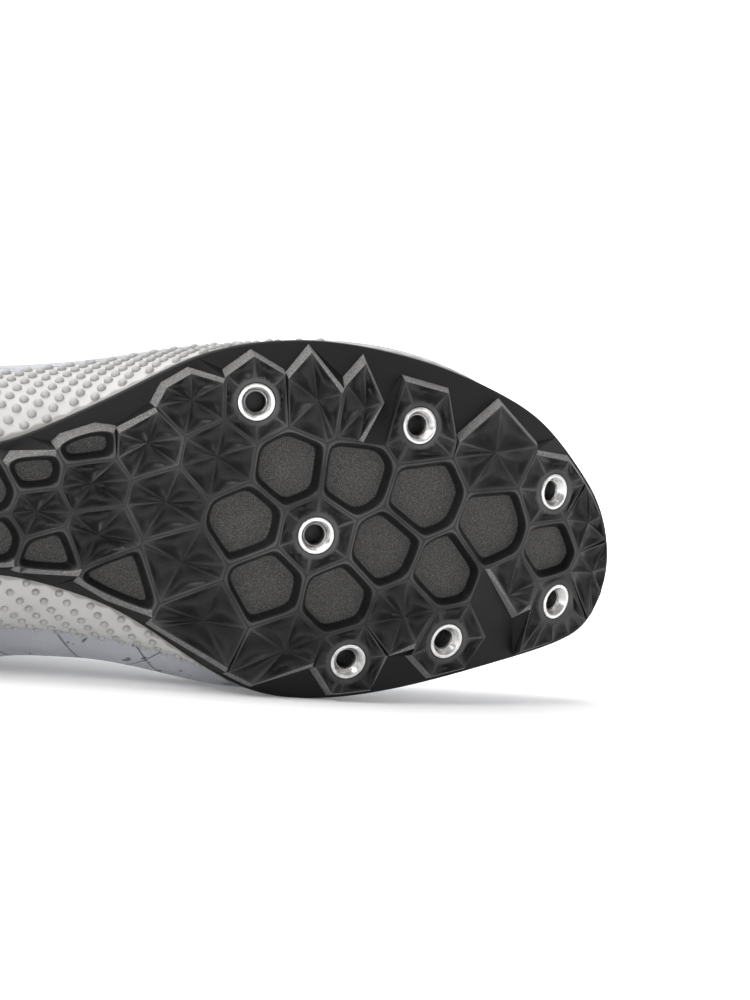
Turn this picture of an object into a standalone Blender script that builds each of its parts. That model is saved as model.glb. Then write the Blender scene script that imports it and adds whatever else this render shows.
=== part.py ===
"""Track spike shoe for the right foot, lying on its medial side.

The shoe is modelled standing in its own frame: x from heel to toe, y towards the medial side, z up, with
the ridge tips of the spike plate near z = 0. A parent empty then lays it down on the sole edge and the
upper, with the sole facing -Y, the toe to +X and the lateral side up."""

import math
from collections import namedtuple

import bmesh
import bpy
import numpy as np
from mathutils import Matrix
from mathutils import Vector
from mathutils.geometry import delaunay_2d_cdt

# Driving dimensions in metres
LENGTH = 0.2925
BALL_WIDTH = 0.098
INSTEP_HEIGHT = 0.082
HEEL_HEIGHT = 0.076
SIDE_HEIGHT = 0.0155
TOE_RADIUS = 0.168
ARCH_LIFT = 0.0069
CROWN_LATERAL = 0.0033
CROWN_MEDIAL = 0.0060
GAP = 0.0003

# Spike plate
SLAB = 0.0018
TREAD = 0.0035
RIDGE = 0.0009
OUTER_DRAFT = 0.0013
PAD_DEPTH = 0.0035
PAD_WALL = 0.0012
PIT_DEPTH = 0.0014
EDGE_RIM = 0.0007
PIT_REACH = 0.58
DIP_DEPTH = 0.0010
HEEL_PITCH = 0.0190

# Spike sockets
FLANGE_RADIUS = 0.0050
FLANGE_THICK = 0.0010
MOUTH_RADIUS = 0.0040
MOUTH_DEPTH = 0.0018
BORE_RADIUS = 0.0029
BORE_DEPTH = 0.0060
BODY_RADIUS = 0.0042
BODY_LENGTH = 0.0068
BEVEL = 0.0002
SEAT_DEPTH = 0.0005
SEAT_RIM = 0.0010

# Upper, tongue, insole and lace
WALL = 0.0018
EYESTAY_STEP = 0.0006
EYESTAY_WIDTH = 0.0150
EYELET_INSET = 0.0080
EYELET_RADIUS = 0.0021
EYELET_ROWS = 6
TONGUE_THICK = 0.0025
TONGUE_LAP = 0.0100
TONGUE_RISE = 0.0240
TONGUE_TILT = math.radians(42)
TONGUE_NARROWING = 0.40
INSOLE_THICK = 0.0030
INSOLE_MARGIN = 0.0014
BED_DISH = 3
LACE_WIDTH = 0.0060
LACE_THICK = 0.0012
LACE_ARCH = 0.0015

# Mesh steps: points around the shoe, columns across it, rows up the upper
AROUND = 72
ACROSS = 6
UPPER_ROWS = 5
SOCKET_SIDES = 16
EYELET_SIDES = 8
TONGUE_STEPS = 3

# Numbers of the ribs at which the eyestay ends and the first and last eyelets lie
EYESTAY_END = 12.3
EYELET_FIRST = 4.2
EYELET_LAST = 11.6

# Seeds around a cell that can bound it
NEIGHBOURS = 14
# Where the sole is level at the ball, as a share of LENGTH
BALL_SPOT = 0.666
# Half width at which the crown reaches its full height
CROWN_HALF = BALL_WIDTH * 0.49

# Lift of the tread behind the ball: shares of LENGTH and ARCH_LIFT
Lift = namedtuple("Lift", "along height")
ARCH = (
    Lift(0.000, 0.87),
    Lift(0.050, 0.35),
    Lift(0.120, 0.09),
    Lift(0.200, 0.23),
    Lift(0.297, 0.72),
    Lift(0.397, 1.00),
    Lift(0.496, 0.75),
    Lift(0.585, 0.22),
    Lift(BALL_SPOT, 0.00),
)

# Sections of the sole from toe to heel. Along is a share of LENGTH, the plate's edges and the flares out
# to the feather line are shares of BALL_WIDTH, the heights of its sides and foam are shares of SIDE_HEIGHT.
Section = namedtuple("Section", "along lateral medial flare_lateral flare_medial side_lateral side_medial foam")
SECTIONS = (
    Section(1.000, 0.175, 0.175, -0.015, -0.015, 0.22, 0.22, 0.30),
    Section(0.985, 0.010, 0.318, -0.020, -0.018, 0.20, 0.20, 0.30),
    Section(0.955, -0.112, 0.378, -0.025, -0.020, 0.18, 0.18, 0.30),
    Section(0.910, -0.245, 0.408, -0.022, -0.020, 0.16, 0.16, 0.30),
    Section(0.860, -0.334, 0.435, -0.004, -0.022, 0.16, 0.16, 0.30),
    Section(0.800, -0.406, 0.470, 0.007, -0.022, 0.16, 0.16, 0.30),
    Section(0.740, -0.453, 0.499, 0.006, -0.022, 0.17, 0.16, 0.30),
    Section(0.680, -0.478, 0.510, -0.006, -0.022, 0.22, 0.17, 0.30),
    Section(0.620, -0.472, 0.478, -0.014, -0.018, 0.48, 0.25, 0.33),
    Section(0.560, -0.426, 0.378, 0.004, 0.030, 1.05, 0.48, 0.38),
    Section(0.500, -0.333, 0.268, 0.053, 0.105, 1.55, 0.75, 0.48),
    Section(0.440, -0.243, 0.203, 0.114, 0.150, 1.68, 0.92, 0.57),
    Section(0.390, -0.184, 0.174, 0.150, 0.180, 1.62, 1.00, 0.62),
    Section(0.330, -0.156, 0.190, 0.152, 0.150, 1.48, 1.02, 0.66),
    Section(0.260, -0.160, 0.280, 0.122, 0.080, 1.30, 1.00, 0.72),
    Section(0.180, -0.187, 0.372, 0.080, 0.026, 1.14, 0.96, 0.76),
    Section(0.100, -0.204, 0.404, 0.057, 0.002, 1.04, 0.95, 0.78),
    Section(0.045, -0.144, 0.330, 0.050, 0.004, 1.03, 1.00, 0.80),
    Section(0.018, 0.082, 0.082, 0.045, 0.045, 1.03, 1.03, 0.80),
)

# Ribs of the upper, one for each section: the opening's edge along as a share of LENGTH, across as shares
# of BALL_WIDTH, its height as a share of INSTEP_HEIGHT or HEEL_HEIGHT, the lean of the wall at the foot and
# its slope down at the edge in degrees, and the pull of the rib's handles as shares of its chord.
Rib = namedtuple("Rib", "along lateral medial height lean_lateral lean_medial slope pull_foot pull_edge")
THROAT_RIBS = (
    Rib(0.705, 0.030, 0.030, 0.660, 8, 8, 14, 0.22, 0.34),
    Rib(0.704, 0.000, 0.060, 0.662, 8, 8, 16, 0.24, 0.33),
    Rib(0.700, -0.035, 0.095, 0.668, 8, 8, 20, 0.27, 0.32),
    Rib(0.692, -0.068, 0.128, 0.675, 8, 8, 26, 0.30, 0.31),
    Rib(0.678, -0.094, 0.154, 0.688, 8, 8, 31, 0.32, 0.30),
    Rib(0.656, -0.107, 0.167, 0.710, 8, 8, 35, 0.33, 0.30),
    Rib(0.628, -0.115, 0.173, 0.740, 7, 12, 38, 0.34, 0.30),
    Rib(0.596, -0.122, 0.178, 0.775, 5, 24, 42, 0.36, 0.31),
    Rib(0.562, -0.131, 0.183, 0.815, 2, 44, 45, 0.38, 0.35),
    Rib(0.526, -0.142, 0.188, 0.860, 0, 62, 48, 0.40, 0.42),
    Rib(0.488, -0.158, 0.194, 0.910, 2, 74, 50, 0.42, 0.47),
    Rib(0.450, -0.178, 0.202, 0.955, 6, 80, 55, 0.44, 0.50),
    Rib(0.412, -0.203, 0.217, 1.000, 9, 78, 61, 0.44, 0.50),
)
COLLAR_RIBS = (
    Rib(0.358, -0.250, 0.270, 1.003, 11, 64, 70, 0.40, 0.44),
    Rib(0.285, -0.272, 0.323, 0.885, 10, 30, 80, 0.37, 0.38),
    Rib(0.200, -0.255, 0.345, 0.825, 8, 2, 86, 0.34, 0.32),
    Rib(0.118, -0.205, 0.315, 0.863, 3, -4, 84, 0.33, 0.30),
    Rib(0.060, -0.098, 0.212, 0.944, 2, -2, 84, 0.33, 0.30),
    Rib(0.036, 0.058, 0.058, 0.998, 0, 0, 84, 0.33, 0.30),
)

# The midsole's side from the plate up to the feather line: shares of the way out and of the way up
Slope = namedtuple("Slope", "out up")
SIDE_SLOPE = (
    Slope(0.00, 0.00),
    Slope(0.45, 0.22),
    Slope(0.80, 0.55),
    Slope(1.00, 1.00),
)

# How far down the eyestay the points of a lace bar lie, as shares of EYELET_INSET
BAR_POINTS = (1.15, 0.75, 0.35, 0.0)

# Cells of the tread from waist to toe: shares of LENGTH and BALL_WIDTH, and what the cell holds
Cell = namedtuple("Cell", "along across kind")
CELLS = (
    Cell(0.380, -0.056, "pad"),
    Cell(0.384, 0.067, "pad"),
    Cell(0.415, -0.116, "pad"),
    Cell(0.420, -0.006, "star"),
    Cell(0.432, 0.111, "pad"),
    Cell(0.462, -0.197, "pad"),
    Cell(0.468, -0.084, "star"),
    Cell(0.475, 0.055, "star"),
    Cell(0.494, 0.184, "pad"),
    Cell(0.516, -0.196, "star"),
    Cell(0.534, -0.040, "star"),
    Cell(0.551, 0.121, "star"),
    Cell(0.554, -0.315, "star"),
    Cell(0.574, 0.281, "star"),
    Cell(0.578, -0.166, "star"),
    Cell(0.612, -0.316, "socket"),
    Cell(0.605, 0.009, "pad"),
    Cell(0.629, 0.181, "pad"),
    Cell(0.645, -0.143, "pad"),
    Cell(0.651, 0.362, "star"),
    Cell(0.668, -0.326, "star"),
    Cell(0.672, 0.041, "socket"),
    Cell(0.696, 0.213, "pad"),
    Cell(0.706, -0.124, "pad"),
    Cell(0.713, -0.307, "star"),
    Cell(0.713, 0.397, "socket"),
    Cell(0.739, 0.080, "pad"),
    Cell(0.763, 0.271, "star"),
    Cell(0.768, -0.260, "socket"),
    Cell(0.775, -0.063, "pad"),
    Cell(0.801, 0.148, "pad"),
    Cell(0.811, 0.348, "socket"),
    Cell(0.848, -0.184, "star"),
    Cell(0.850, 0.027, "pad"),
    Cell(0.873, 0.223, "star"),
    Cell(0.919, -0.064, "socket"),
    Cell(0.923, 0.102, "pad"),
    Cell(0.932, 0.257, "socket"),
    Cell(0.963, 0.032, "star"),
    Cell(0.974, 0.181, "star"),
)

# Corners of the stepped edge of the tread, in runs: shares of LENGTH and BALL_WIDTH
Corner = namedtuple("Corner", "along across")
LATERAL_STEPS = (
    Corner(0.386, -0.132),
    Corner(0.396, -0.162),
    Corner(0.426, -0.169),
    Corner(0.440, -0.210),
    Corner(0.471, -0.242),
    Corner(0.491, -0.236),
    Corner(0.516, -0.281),
    Corner(0.528, -0.354),
    Corner(0.552, -0.399),
    Corner(0.576, -0.381),
    Corner(0.608, -0.453),
    Corner(0.640, -0.401),
    Corner(0.661, -0.472),
    Corner(0.689, -0.370),
    Corner(0.713, -0.449),
    Corner(0.735, -0.318),
    Corner(0.752, -0.394),
    Corner(0.799, -0.359),
    Corner(0.809, -0.231),
    Corner(0.853, -0.330),
    Corner(0.908, -0.178),
    Corner(0.946, -0.155),
    Corner(0.969, -0.045),
)
BALL_STEPS = (
    Corner(0.630, 0.470),
    Corner(0.677, 0.415),
    Corner(0.698, 0.500),
)
MIDDLE_STEPS = (
    Corner(0.740, 0.503),
    Corner(0.752, 0.395),
    Corner(0.767, 0.376),
    Corner(0.799, 0.466),
)
FRONT_STEPS = (
    Corner(0.837, 0.440),
    Corner(0.855, 0.355),
    Corner(0.885, 0.299),
    Corner(0.906, 0.379),
)

# Real mass per volume, for the balance of the shoe as it lies
DENSITY = {
    "spike_plate": 1100,
    "midsole": 180,
    "upper": 420,
    "tongue": 300,
    "insole": 200,
    "metal": 7800,
    "lace": 500,
}

HALF = AROUND // 2
PLATE = TREAD + SLAB
LAST = len(SECTIONS) - 1
RIBS = [rib._replace(height=rib.height * INSTEP_HEIGHT) for rib in THROAT_RIBS]
RIBS += [rib._replace(height=rib.height * HEEL_HEIGHT) for rib in COLLAR_RIBS]


def cubic_through(xs, ys):
    """A smooth curve through a few points, unbent at its first end and level at its last."""
    count = len(xs)
    steps = np.diff(xs)
    rises = np.diff(ys) / steps
    system = np.eye(count)
    pull = np.zeros(count)
    for i in range(1, count - 1):
        system[i, i - 1:i + 2] = steps[i - 1], 2 * (steps[i - 1] + steps[i]), steps[i]
        pull[i] = 6 * (rises[i] - rises[i - 1])
    system[-1, -2:] = steps[-1], 2 * steps[-1]
    pull[-1] = -6 * rises[-1]
    bends = np.linalg.solve(system, pull)

    def curve(x):
        i = min(max(int(np.searchsorted(xs, x)) - 1, 0), count - 2)
        before, after, step = xs[i + 1] - x, x - xs[i], steps[i]
        bent = (bends[i] * before ** 3 + bends[i + 1] * after ** 3) / (6 * step)
        first = (ys[i] / step - bends[i] * step / 6) * before
        second = (ys[i + 1] / step - bends[i + 1] * step / 6) * after
        return bent + first + second
    return curve


def closed_cubic(rows):
    """A smooth closed curve through rows of values, one row at each whole number."""
    rows = np.array(rows)
    count = len(rows)
    one = np.eye(count)
    system = 4 * one + np.roll(one, 1, axis=0) + np.roll(one, -1, axis=0)
    pull = 6 * (np.roll(rows, -1, axis=0) - 2 * rows + np.roll(rows, 1, axis=0))
    bends = np.linalg.solve(system, pull)

    def curve(u):
        i = int(math.floor(u)) % count
        j = (i + 1) % count
        b = u - math.floor(u)
        a = 1 - b
        return a * rows[i] + b * rows[j] + ((a ** 3 - a) * bends[i] + (b ** 3 - b) * bends[j]) / 6
    return curve


def around(lateral, medial):
    """Rows of a loop: down the lateral side from toe to heel, and back up the medial side."""
    return list(lateral) + list(medial)[-2:0:-1]


ARCH_CURVE = cubic_through([row.along * LENGTH for row in ARCH], [row.height * ARCH_LIFT for row in ARCH])
PLATE_LOOP = closed_cubic(around(
    [(s.along * LENGTH, s.lateral * BALL_WIDTH) for s in SECTIONS],
    [(s.along * LENGTH, s.medial * BALL_WIDTH) for s in SECTIONS]))
SIDE_LOOP = closed_cubic(around(
    [(s.flare_lateral * BALL_WIDTH, s.side_lateral * SIDE_HEIGHT) for s in SECTIONS],
    [(s.flare_medial * BALL_WIDTH, s.side_medial * SIDE_HEIGHT) for s in SECTIONS]))
FOAM_CURVE = closed_cubic(around(
    [(s.foam * SIDE_HEIGHT,) for s in SECTIONS],
    [(s.foam * SIDE_HEIGHT,) for s in SECTIONS]))
EDGE_LOOP = closed_cubic(around(
    [(r.along * LENGTH, r.lateral * BALL_WIDTH, r.height) for r in RIBS],
    [(r.along * LENGTH, r.medial * BALL_WIDTH, r.height) for r in RIBS]))
HANDLE_LOOP = closed_cubic(around(
    [(math.radians(r.lean_lateral), math.radians(r.slope), r.pull_foot, r.pull_edge) for r in RIBS],
    [(math.radians(r.lean_medial), math.radians(r.slope), r.pull_foot, r.pull_edge) for r in RIBS]))


def tip_height(x):
    """Height of the ridge tips along the shoe: the arch behind the ball, a round toe spring ahead."""
    ball = BALL_SPOT * LENGTH
    if x <= ball:
        return float(ARCH_CURVE(max(x, 0.0)))
    run = min(x - ball, TOE_RADIUS)
    return TOE_RADIUS - math.sqrt(TOE_RADIUS ** 2 - run ** 2)


def on_sole(x, y, depth):
    """A point of the sole, this far up from the ridge tips."""
    crown = (CROWN_MEDIAL if y > 0 else CROWN_LATERAL) * (y / CROWN_HALF) ** 2
    return Vector((x, y, tip_height(x) + crown + depth))


def sole_normal(x, y):
    """Unit normal of the sole at a point, out of the shoe."""
    step = 0.0005
    along = on_sole(x + step, y, 0) - on_sole(x - step, y, 0)
    across = on_sole(x, y + step, 0) - on_sole(x, y - step, 0)
    return -along.cross(across).normalized()


def loop_normal(loop, u):
    """Unit normal of a loop in plan, out of the shoe."""
    step = 0.02
    ahead = loop(u + step)[:2] - loop(u - step)[:2]
    return Vector((-ahead[1], ahead[0], 0)).normalized()


def station(k):
    """Loop value of point k around the shoe."""
    return 2 * LAST * k / AROUND


def plate_edge(k, depth):
    x, y = PLATE_LOOP(station(k))
    return on_sole(x, y, depth)


def feather(u, inset, lift=0.0):
    """A point of the feather line, where the upper stands on the midsole."""
    x, y = PLATE_LOOP(u)
    flare, side = SIDE_LOOP(u)
    base = on_sole(x, y, PLATE + GAP + side + lift)
    return base + loop_normal(PLATE_LOOP, u) * (flare - inset)


def wall_point(u, v):
    """Inner face of the upper: v runs from the foot of the wall to the edge of the opening."""
    lean, slope, pull_foot, pull_edge = HANDLE_LOOP(u)
    foot = feather(u, WALL, WALL * math.sin(lean))
    edge = Vector(EDGE_LOOP(u))
    chord = (edge - foot).length
    out_foot = loop_normal(PLATE_LOOP, u)
    out_edge = loop_normal(EDGE_LOOP, u)
    rise = Vector((0, 0, 1))
    first = foot + (out_foot * math.sin(lean) + rise * math.cos(lean)) * chord * pull_foot
    second = edge + (out_edge * math.cos(slope) - rise * math.sin(slope)) * chord * pull_edge
    w = 1 - v
    return foot * w ** 3 + first * 3 * w * w * v + second * 3 * w * v * v + edge * v ** 3


def wall_normal(u, v):
    """Unit normal of the upper, out of the shoe."""
    beside = 0.05
    above = 0.01
    along = wall_point(u + beside, v) - wall_point(u - beside, v)
    up = wall_point(u, min(v + above, 1)) - wall_point(u, v - above)
    return up.cross(along).normalized()


def share_below_edge(u, distance):
    """The wall's v value at this distance below the edge of the opening."""
    tried = 0.25
    chord = (wall_point(u, 1) - wall_point(u, 1 - tried)).length
    return 1 - tried * distance / chord


def add_object(name, mesh, collection):
    thing = bpy.data.objects.new(name, mesh)
    collection.objects.link(thing)
    return thing


def finish_mesh(bm, name, collection, close=True):
    """Turn a bmesh into an object with its faces pointing out."""
    if close:
        bmesh.ops.recalc_face_normals(bm, faces=bm.faces[:])
    mesh = bpy.data.meshes.new(name)
    bm.to_mesh(mesh)
    bm.free()
    return add_object(name, mesh, collection)


def face_between(bm, corners):
    """A face through these vertices, with repeated ones left out."""
    unique = list(dict.fromkeys(corners))
    if len(unique) > 2:
        bm.faces.new(unique)


def join_rings(bm, first, second, closed=True):
    count = len(first)
    for i in range(count if closed else count - 1):
        j = (i + 1) % count
        face_between(bm, (first[i], first[j], second[j], second[i]))


def deck(bm, rim, point_at):
    """Fill a rim that runs around the shoe with rows from its lateral to its medial side."""
    rows = [[rim[0]] * (ACROSS + 1)]
    for k in range(1, HALF):
        inner = [bm.verts.new(point_at(k, c / ACROSS)) for c in range(1, ACROSS)]
        rows.append([rim[k]] + inner + [rim[-k]])
    rows.append([rim[HALF]] * (ACROSS + 1))
    for first, second in zip(rows, rows[1:]):
        join_rings(bm, first, second, closed=False)


def clip(polygon, line):
    """The part of a convex polygon behind a line, given as its normal and its distance."""
    nx, ny, reach = line
    kept = []
    for i, (ax, ay) in enumerate(polygon):
        bx, by = polygon[(i + 1) % len(polygon)]
        a = nx * ax + ny * ay - reach
        b = nx * bx + ny * by - reach
        if a <= 0:
            kept.append((ax, ay))
        if (a < 0 < b) or (b < 0 < a):
            share = a / (a - b)
            kept.append((ax + (bx - ax) * share, ay + (by - ay) * share))
    return kept


def plan_line(start, end, inside):
    """The line through two points in plan, with its normal away from a point inside."""
    normal = Vector((start[1] - end[1], end[0] - start[0])).normalized()
    reach = normal.x * start[0] + normal.y * start[1]
    if normal.x * inside[0] + normal.y * inside[1] > reach:
        return -normal.x, -normal.y, -reach
    return normal.x, normal.y, reach


def nearest(seeds, point, count):
    """Numbers of the seeds that lie nearest to a point."""
    order = sorted(range(len(seeds)), key=lambda i: math.dist(seeds[i][:2], point))
    return order[:count]


def inside_loop(x, y, points):
    inside = False
    for (ax, ay), (bx, by) in zip(points, points[1:] + points[:1]):
        if (ay > y) != (by > y) and x < ax + (bx - ax) * (y - ay) / (by - ay):
            inside = not inside
    return inside


def outline_points(inset):
    """The plate's outline in plan, moved in."""
    points = []
    for k in range(AROUND):
        normal = loop_normal(PLATE_LOOP, station(k))
        x, y = PLATE_LOOP(station(k))
        points.append((x - normal.x * inset, y - normal.y * inset))
    return points


def passes_through(lines, start, end):
    """Whether the stretch between two points in plan runs through the cell within these lines."""
    first = 0.0
    last = 1.0
    for (nx, ny, reach), _ in lines:
        a = nx * start[0] + ny * start[1] - reach
        b = nx * end[0] + ny * end[1] - reach
        if a > 0 and b > 0:
            return False
        if a > 0:
            first = max(first, a / (a - b))
        if b > 0:
            last = min(last, a / (a - b))
    return last > first


def tread_seeds():
    """Centres of the tread's cells, with plain pads laid by rows under the hidden heel."""
    seeds = [(c.along * LENGTH, c.across * BALL_WIDTH, c.kind) for c in CELLS]
    limit = outline_points(HEEL_PITCH * 0.25)
    row = 1
    x = CELLS[0].along * LENGTH - HEEL_PITCH
    while x > 0:
        shift = 0 if row % 2 else HEEL_PITCH * 0.5
        for step in range(-3, 4):
            y = step * HEEL_PITCH + shift
            if inside_loop(x, y, limit):
                seeds.append((x, y, "pad"))
        row += 1
        x -= HEEL_PITCH * 0.9
    return seeds


def tread_cells():
    """Each cell as its seed and the lines around it, with how far its ridge stands in from each line."""
    seeds = tread_seeds()
    lines = [[] for _ in seeds]
    for i, (x, y, _) in enumerate(seeds):
        for j in nearest(seeds, (x, y), NEIGHBOURS)[1:]:
            ox, oy = seeds[j][:2]
            normal = Vector((ox - x, oy - y)).normalized()
            reach = normal.x * (x + ox) / 2 + normal.y * (y + oy) / 2
            lines[i].append(((normal.x, normal.y, reach), RIDGE / 2))
    between = [list(own) for own in lines]
    rim = outline_points(EDGE_RIM)
    for start, end in zip(rim, rim[1:] + rim[:1]):
        middle = ((start[0] + end[0]) / 2, (start[1] + end[1]) / 2)
        beside = nearest(seeds, middle, 2)
        for i, own in enumerate(between):
            if i in beside or passes_through(own, start, end):
                lines[i].append((plan_line(start, end, seeds[i]), OUTER_DRAFT))
    for run in (LATERAL_STEPS, BALL_STEPS, MIDDLE_STEPS, FRONT_STEPS):
        corners = [(c.along * LENGTH, c.across * BALL_WIDTH) for c in run]
        for start, end in zip(corners, corners[1:]):
            middle = ((start[0] + end[0]) / 2, (start[1] + end[1]) / 2)
            i = nearest(seeds, middle, 1)[0]
            lines[i].append((plan_line(start, end, seeds[i]), OUTER_DRAFT))
    return list(zip(seeds, lines))


def cell_polygon(seed, lines, inset, extra=0.0):
    """The cell's outline, with each line moved in by its own inset where asked, and by an extra."""
    reach = BALL_WIDTH
    polygon = [(seed[0] - reach, seed[1] - reach), (seed[0] + reach, seed[1] - reach),
               (seed[0] + reach, seed[1] + reach), (seed[0] - reach, seed[1] + reach)]
    for (nx, ny, distance), own in lines:
        polygon = clip(polygon, (nx, ny, distance - (own if inset else 0) - extra))
    return drop_short_edges(polygon)


def drop_short_edges(polygon):
    shortest = 0.0004
    kept = []
    for point in polygon:
        if not kept or math.dist(point, kept[-1]) > shortest:
            kept.append(point)
    if len(kept) > 1 and math.dist(kept[0], kept[-1]) <= shortest:
        kept.pop()
    return kept if len(kept) > 2 else []


class TreadPlan:
    """Points and creases of the tread in plan, each point with its place in space."""

    def __init__(self):
        self.points = []
        self.places = []
        self.creases = []

    def add(self, x, y, depth, place=None):
        self.points.append(Vector((x, y)))
        self.places.append(place or on_sole(x, y, depth))
        return len(self.points) - 1

    def ring(self, polygon, depth):
        numbers = [self.add(x, y, depth) for x, y in polygon]
        self.creases += list(zip(numbers, numbers[1:] + numbers[:1]))
        return numbers

    def build(self, bm):
        """Triangulate the plan and return its vertices by the number of their first point."""
        points, _, faces, origins, _, _ = delaunay_2d_cdt(self.points, self.creases, [], 1, 1e-6)
        verts = []
        first = {}
        for point, sources in zip(points, origins):
            places = [self.places[i] for i in sources]
            place = max(places, key=lambda p: p.z) if places else on_sole(point.x, point.y, TREAD)
            verts.append(bm.verts.new(place))
            for i in sources:
                first[i] = verts[-1]
        for face in faces:
            bm.faces.new([verts[i] for i in face])
        return first


def touches_edge(point, lines):
    """Whether a corner of a cell lies on the outer edge of the tread."""
    for (nx, ny, distance), own in lines:
        if own == OUTER_DRAFT and abs(nx * point[0] + ny * point[1] - distance) < 1e-5:
            return True
    return False


def draw_edge_of_cell(plan, seed, lines):
    """The foot of the tread's outer wall, where this cell meets it."""
    polygon = cell_polygon(seed, lines, False)
    low = [touches_edge(point, lines) for point in polygon]
    for i, point in enumerate(polygon):
        j = (i + 1) % len(polygon)
        if low[i] or low[j]:
            a = plan.add(*point, TREAD if low[i] else 0)
            b = plan.add(*polygon[j], TREAD if low[j] else 0)
            plan.creases.append((a, b))


def draw_pad(plan, seed, lines):
    plan.ring(cell_polygon(seed, lines, True), 0)
    floor = cell_polygon(seed, lines, True, PAD_WALL)
    if floor:
        plan.ring(floor, PAD_DEPTH)


def draw_star(plan, seed, lines):
    """A hub at ridge height, spokes to the corners and a pit between each two spokes."""
    corners = plan.ring(cell_polygon(seed, lines, True), 0)
    hub = plan.add(seed[0], seed[1], 0)
    for a, b in zip(corners, corners[1:] + corners[:1]):
        plan.creases.append((hub, a))
        start, end = plan.points[a], plan.points[b]
        if (start - end).length > PIT_DEPTH * 2:
            pit = plan.points[hub].lerp((start + end) / 2, PIT_REACH)
            plan.add(pit.x, pit.y, PIT_DEPTH)


def socket_matrix(seed):
    """Frame at a socket's seat: z points out of the sole."""
    normal = sole_normal(seed[0], seed[1])
    along = Vector((1, 0, 0))
    across = normal.cross(along).normalized()
    along = across.cross(normal)
    place = on_sole(seed[0], seed[1], SEAT_DEPTH)
    columns = Matrix((along, across, normal)).transposed().to_4x4()
    return Matrix.Translation(place) @ columns


def draw_socket_seat(plan, seed, lines):
    """A flat seat for the flange, with a crease from it to each corner of the cell and dips between."""
    corners = plan.ring(cell_polygon(seed, lines, True), 0)
    frame = socket_matrix(seed)
    radius = FLANGE_RADIUS + SEAT_RIM
    seat = []
    for i in range(SOCKET_SIDES):
        turn = 2 * math.pi * (i + 0.5) / SOCKET_SIDES
        place = frame @ Vector((radius * math.cos(turn), radius * math.sin(turn), 0))
        seat.append(plan.add(place.x, place.y, 0, place))
    plan.creases += list(zip(seat, seat[1:] + seat[:1]))
    for a in corners:
        b = min(seat, key=lambda i: (plan.points[i] - plan.points[a]).length)
        plan.creases.append((a, b))
    for a, b in zip(corners, corners[1:] + corners[:1]):
        middle = (plan.points[a] + plan.points[b]) / 2
        c = min(seat, key=lambda i: (plan.points[i] - middle).length)
        wide = (plan.points[a] - plan.points[b]).length > RIDGE * 3
        if wide and (plan.points[c] - middle).length > RIDGE * 2:
            dip = middle.lerp(plan.points[c], 0.5)
            plan.add(dip.x, dip.y, DIP_DEPTH)


def turned(name, profile, sides, collection):
    """A turned piece: a profile in the x-z plane, swept around z."""
    mesh = bpy.data.meshes.new(name)
    mesh.from_pydata([(x, 0, z) for x, z in profile], [(i, i + 1) for i in range(len(profile) - 1)], [])
    thing = add_object(name, mesh, collection)
    screw = thing.modifiers.new("turn", "SCREW")
    screw.steps = sides
    screw.render_steps = sides
    screw.use_merge_vertices = True
    screw.merge_threshold = 0.00001
    return thing


def cut(thing, cutter, name):
    boolean = thing.modifiers.new(name, "BOOLEAN")
    boolean.operation = "DIFFERENCE"
    boolean.solver = "EXACT"
    boolean.object = cutter
    cutter.hide_render = True
    cutter.display_type = "WIRE"


def socket_seeds():
    return [seed for seed in tread_seeds() if seed[2] == "socket"]


def make_sockets(collection):
    """Metal inserts: a flange, a countersunk mouth and a blind bore for a spike's thread."""
    profile = (
        (0, -BORE_DEPTH), (BORE_RADIUS, -BORE_DEPTH), (BORE_RADIUS, -MOUTH_DEPTH), (MOUTH_RADIUS, 0),
        (FLANGE_RADIUS - BEVEL, 0), (FLANGE_RADIUS, -BEVEL), (FLANGE_RADIUS, -FLANGE_THICK),
        (BODY_RADIUS, -FLANGE_THICK), (BODY_RADIUS, -BODY_LENGTH), (0, -BODY_LENGTH))
    sockets = []
    for number, seed in enumerate(socket_seeds(), 1):
        socket = turned(f"spike_socket_{number}", profile, SOCKET_SIDES, collection)
        socket.matrix_world = socket_matrix(seed)
        sockets.append(socket)
    return sockets


def make_socket_cutters(collection):
    """Stepped pins that leave each insert its clearance in the plate and the midsole."""
    reach = PLATE * 2
    profile = (
        (0, reach), (FLANGE_RADIUS + GAP, reach), (FLANGE_RADIUS + GAP, -FLANGE_THICK - GAP),
        (BODY_RADIUS + GAP, -FLANGE_THICK - GAP), (BODY_RADIUS + GAP, -BODY_LENGTH - GAP),
        (0, -BODY_LENGTH - GAP))
    cutters = []
    for number, seed in enumerate(socket_seeds(), 1):
        cutter = turned(f"socket_clearance_{number}", profile, SOCKET_SIDES, collection)
        cutter.matrix_world = socket_matrix(seed)
        cutters.append(cutter)
    return cutters


def make_plate(collection):
    """The moulded plate: its tread outside, its smooth face towards the midsole."""
    plan = TreadPlan()
    rim = [plan.add(*PLATE_LOOP(station(k)), TREAD) for k in range(AROUND)]
    plan.creases += list(zip(rim, rim[1:] + rim[:1]))
    draw = {"pad": draw_pad, "star": draw_star, "socket": draw_socket_seat}
    for seed, lines in tread_cells():
        if cell_polygon(seed, lines, True):
            draw_edge_of_cell(plan, seed, lines)
            draw[seed[2]](plan, seed, lines)
    bm = bmesh.new()
    first = plan.build(bm)
    outer = [first[i] for i in rim]
    inner = [bm.verts.new(plate_edge(k, PLATE)) for k in range(AROUND)]
    join_rings(bm, outer, inner)
    deck(bm, inner, lambda k, c: across_sole(k, c, PLATE))
    return finish_mesh(bm, "spike_plate", collection)


def across_sole(k, share, depth):
    """A point of the sole on the line from the plate's lateral edge to its medial edge."""
    lateral = PLATE_LOOP(station(k))
    medial = PLATE_LOOP(station(AROUND - k))
    x, y = lateral * (1 - share) + medial * share
    return on_sole(x, y, depth)


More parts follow.
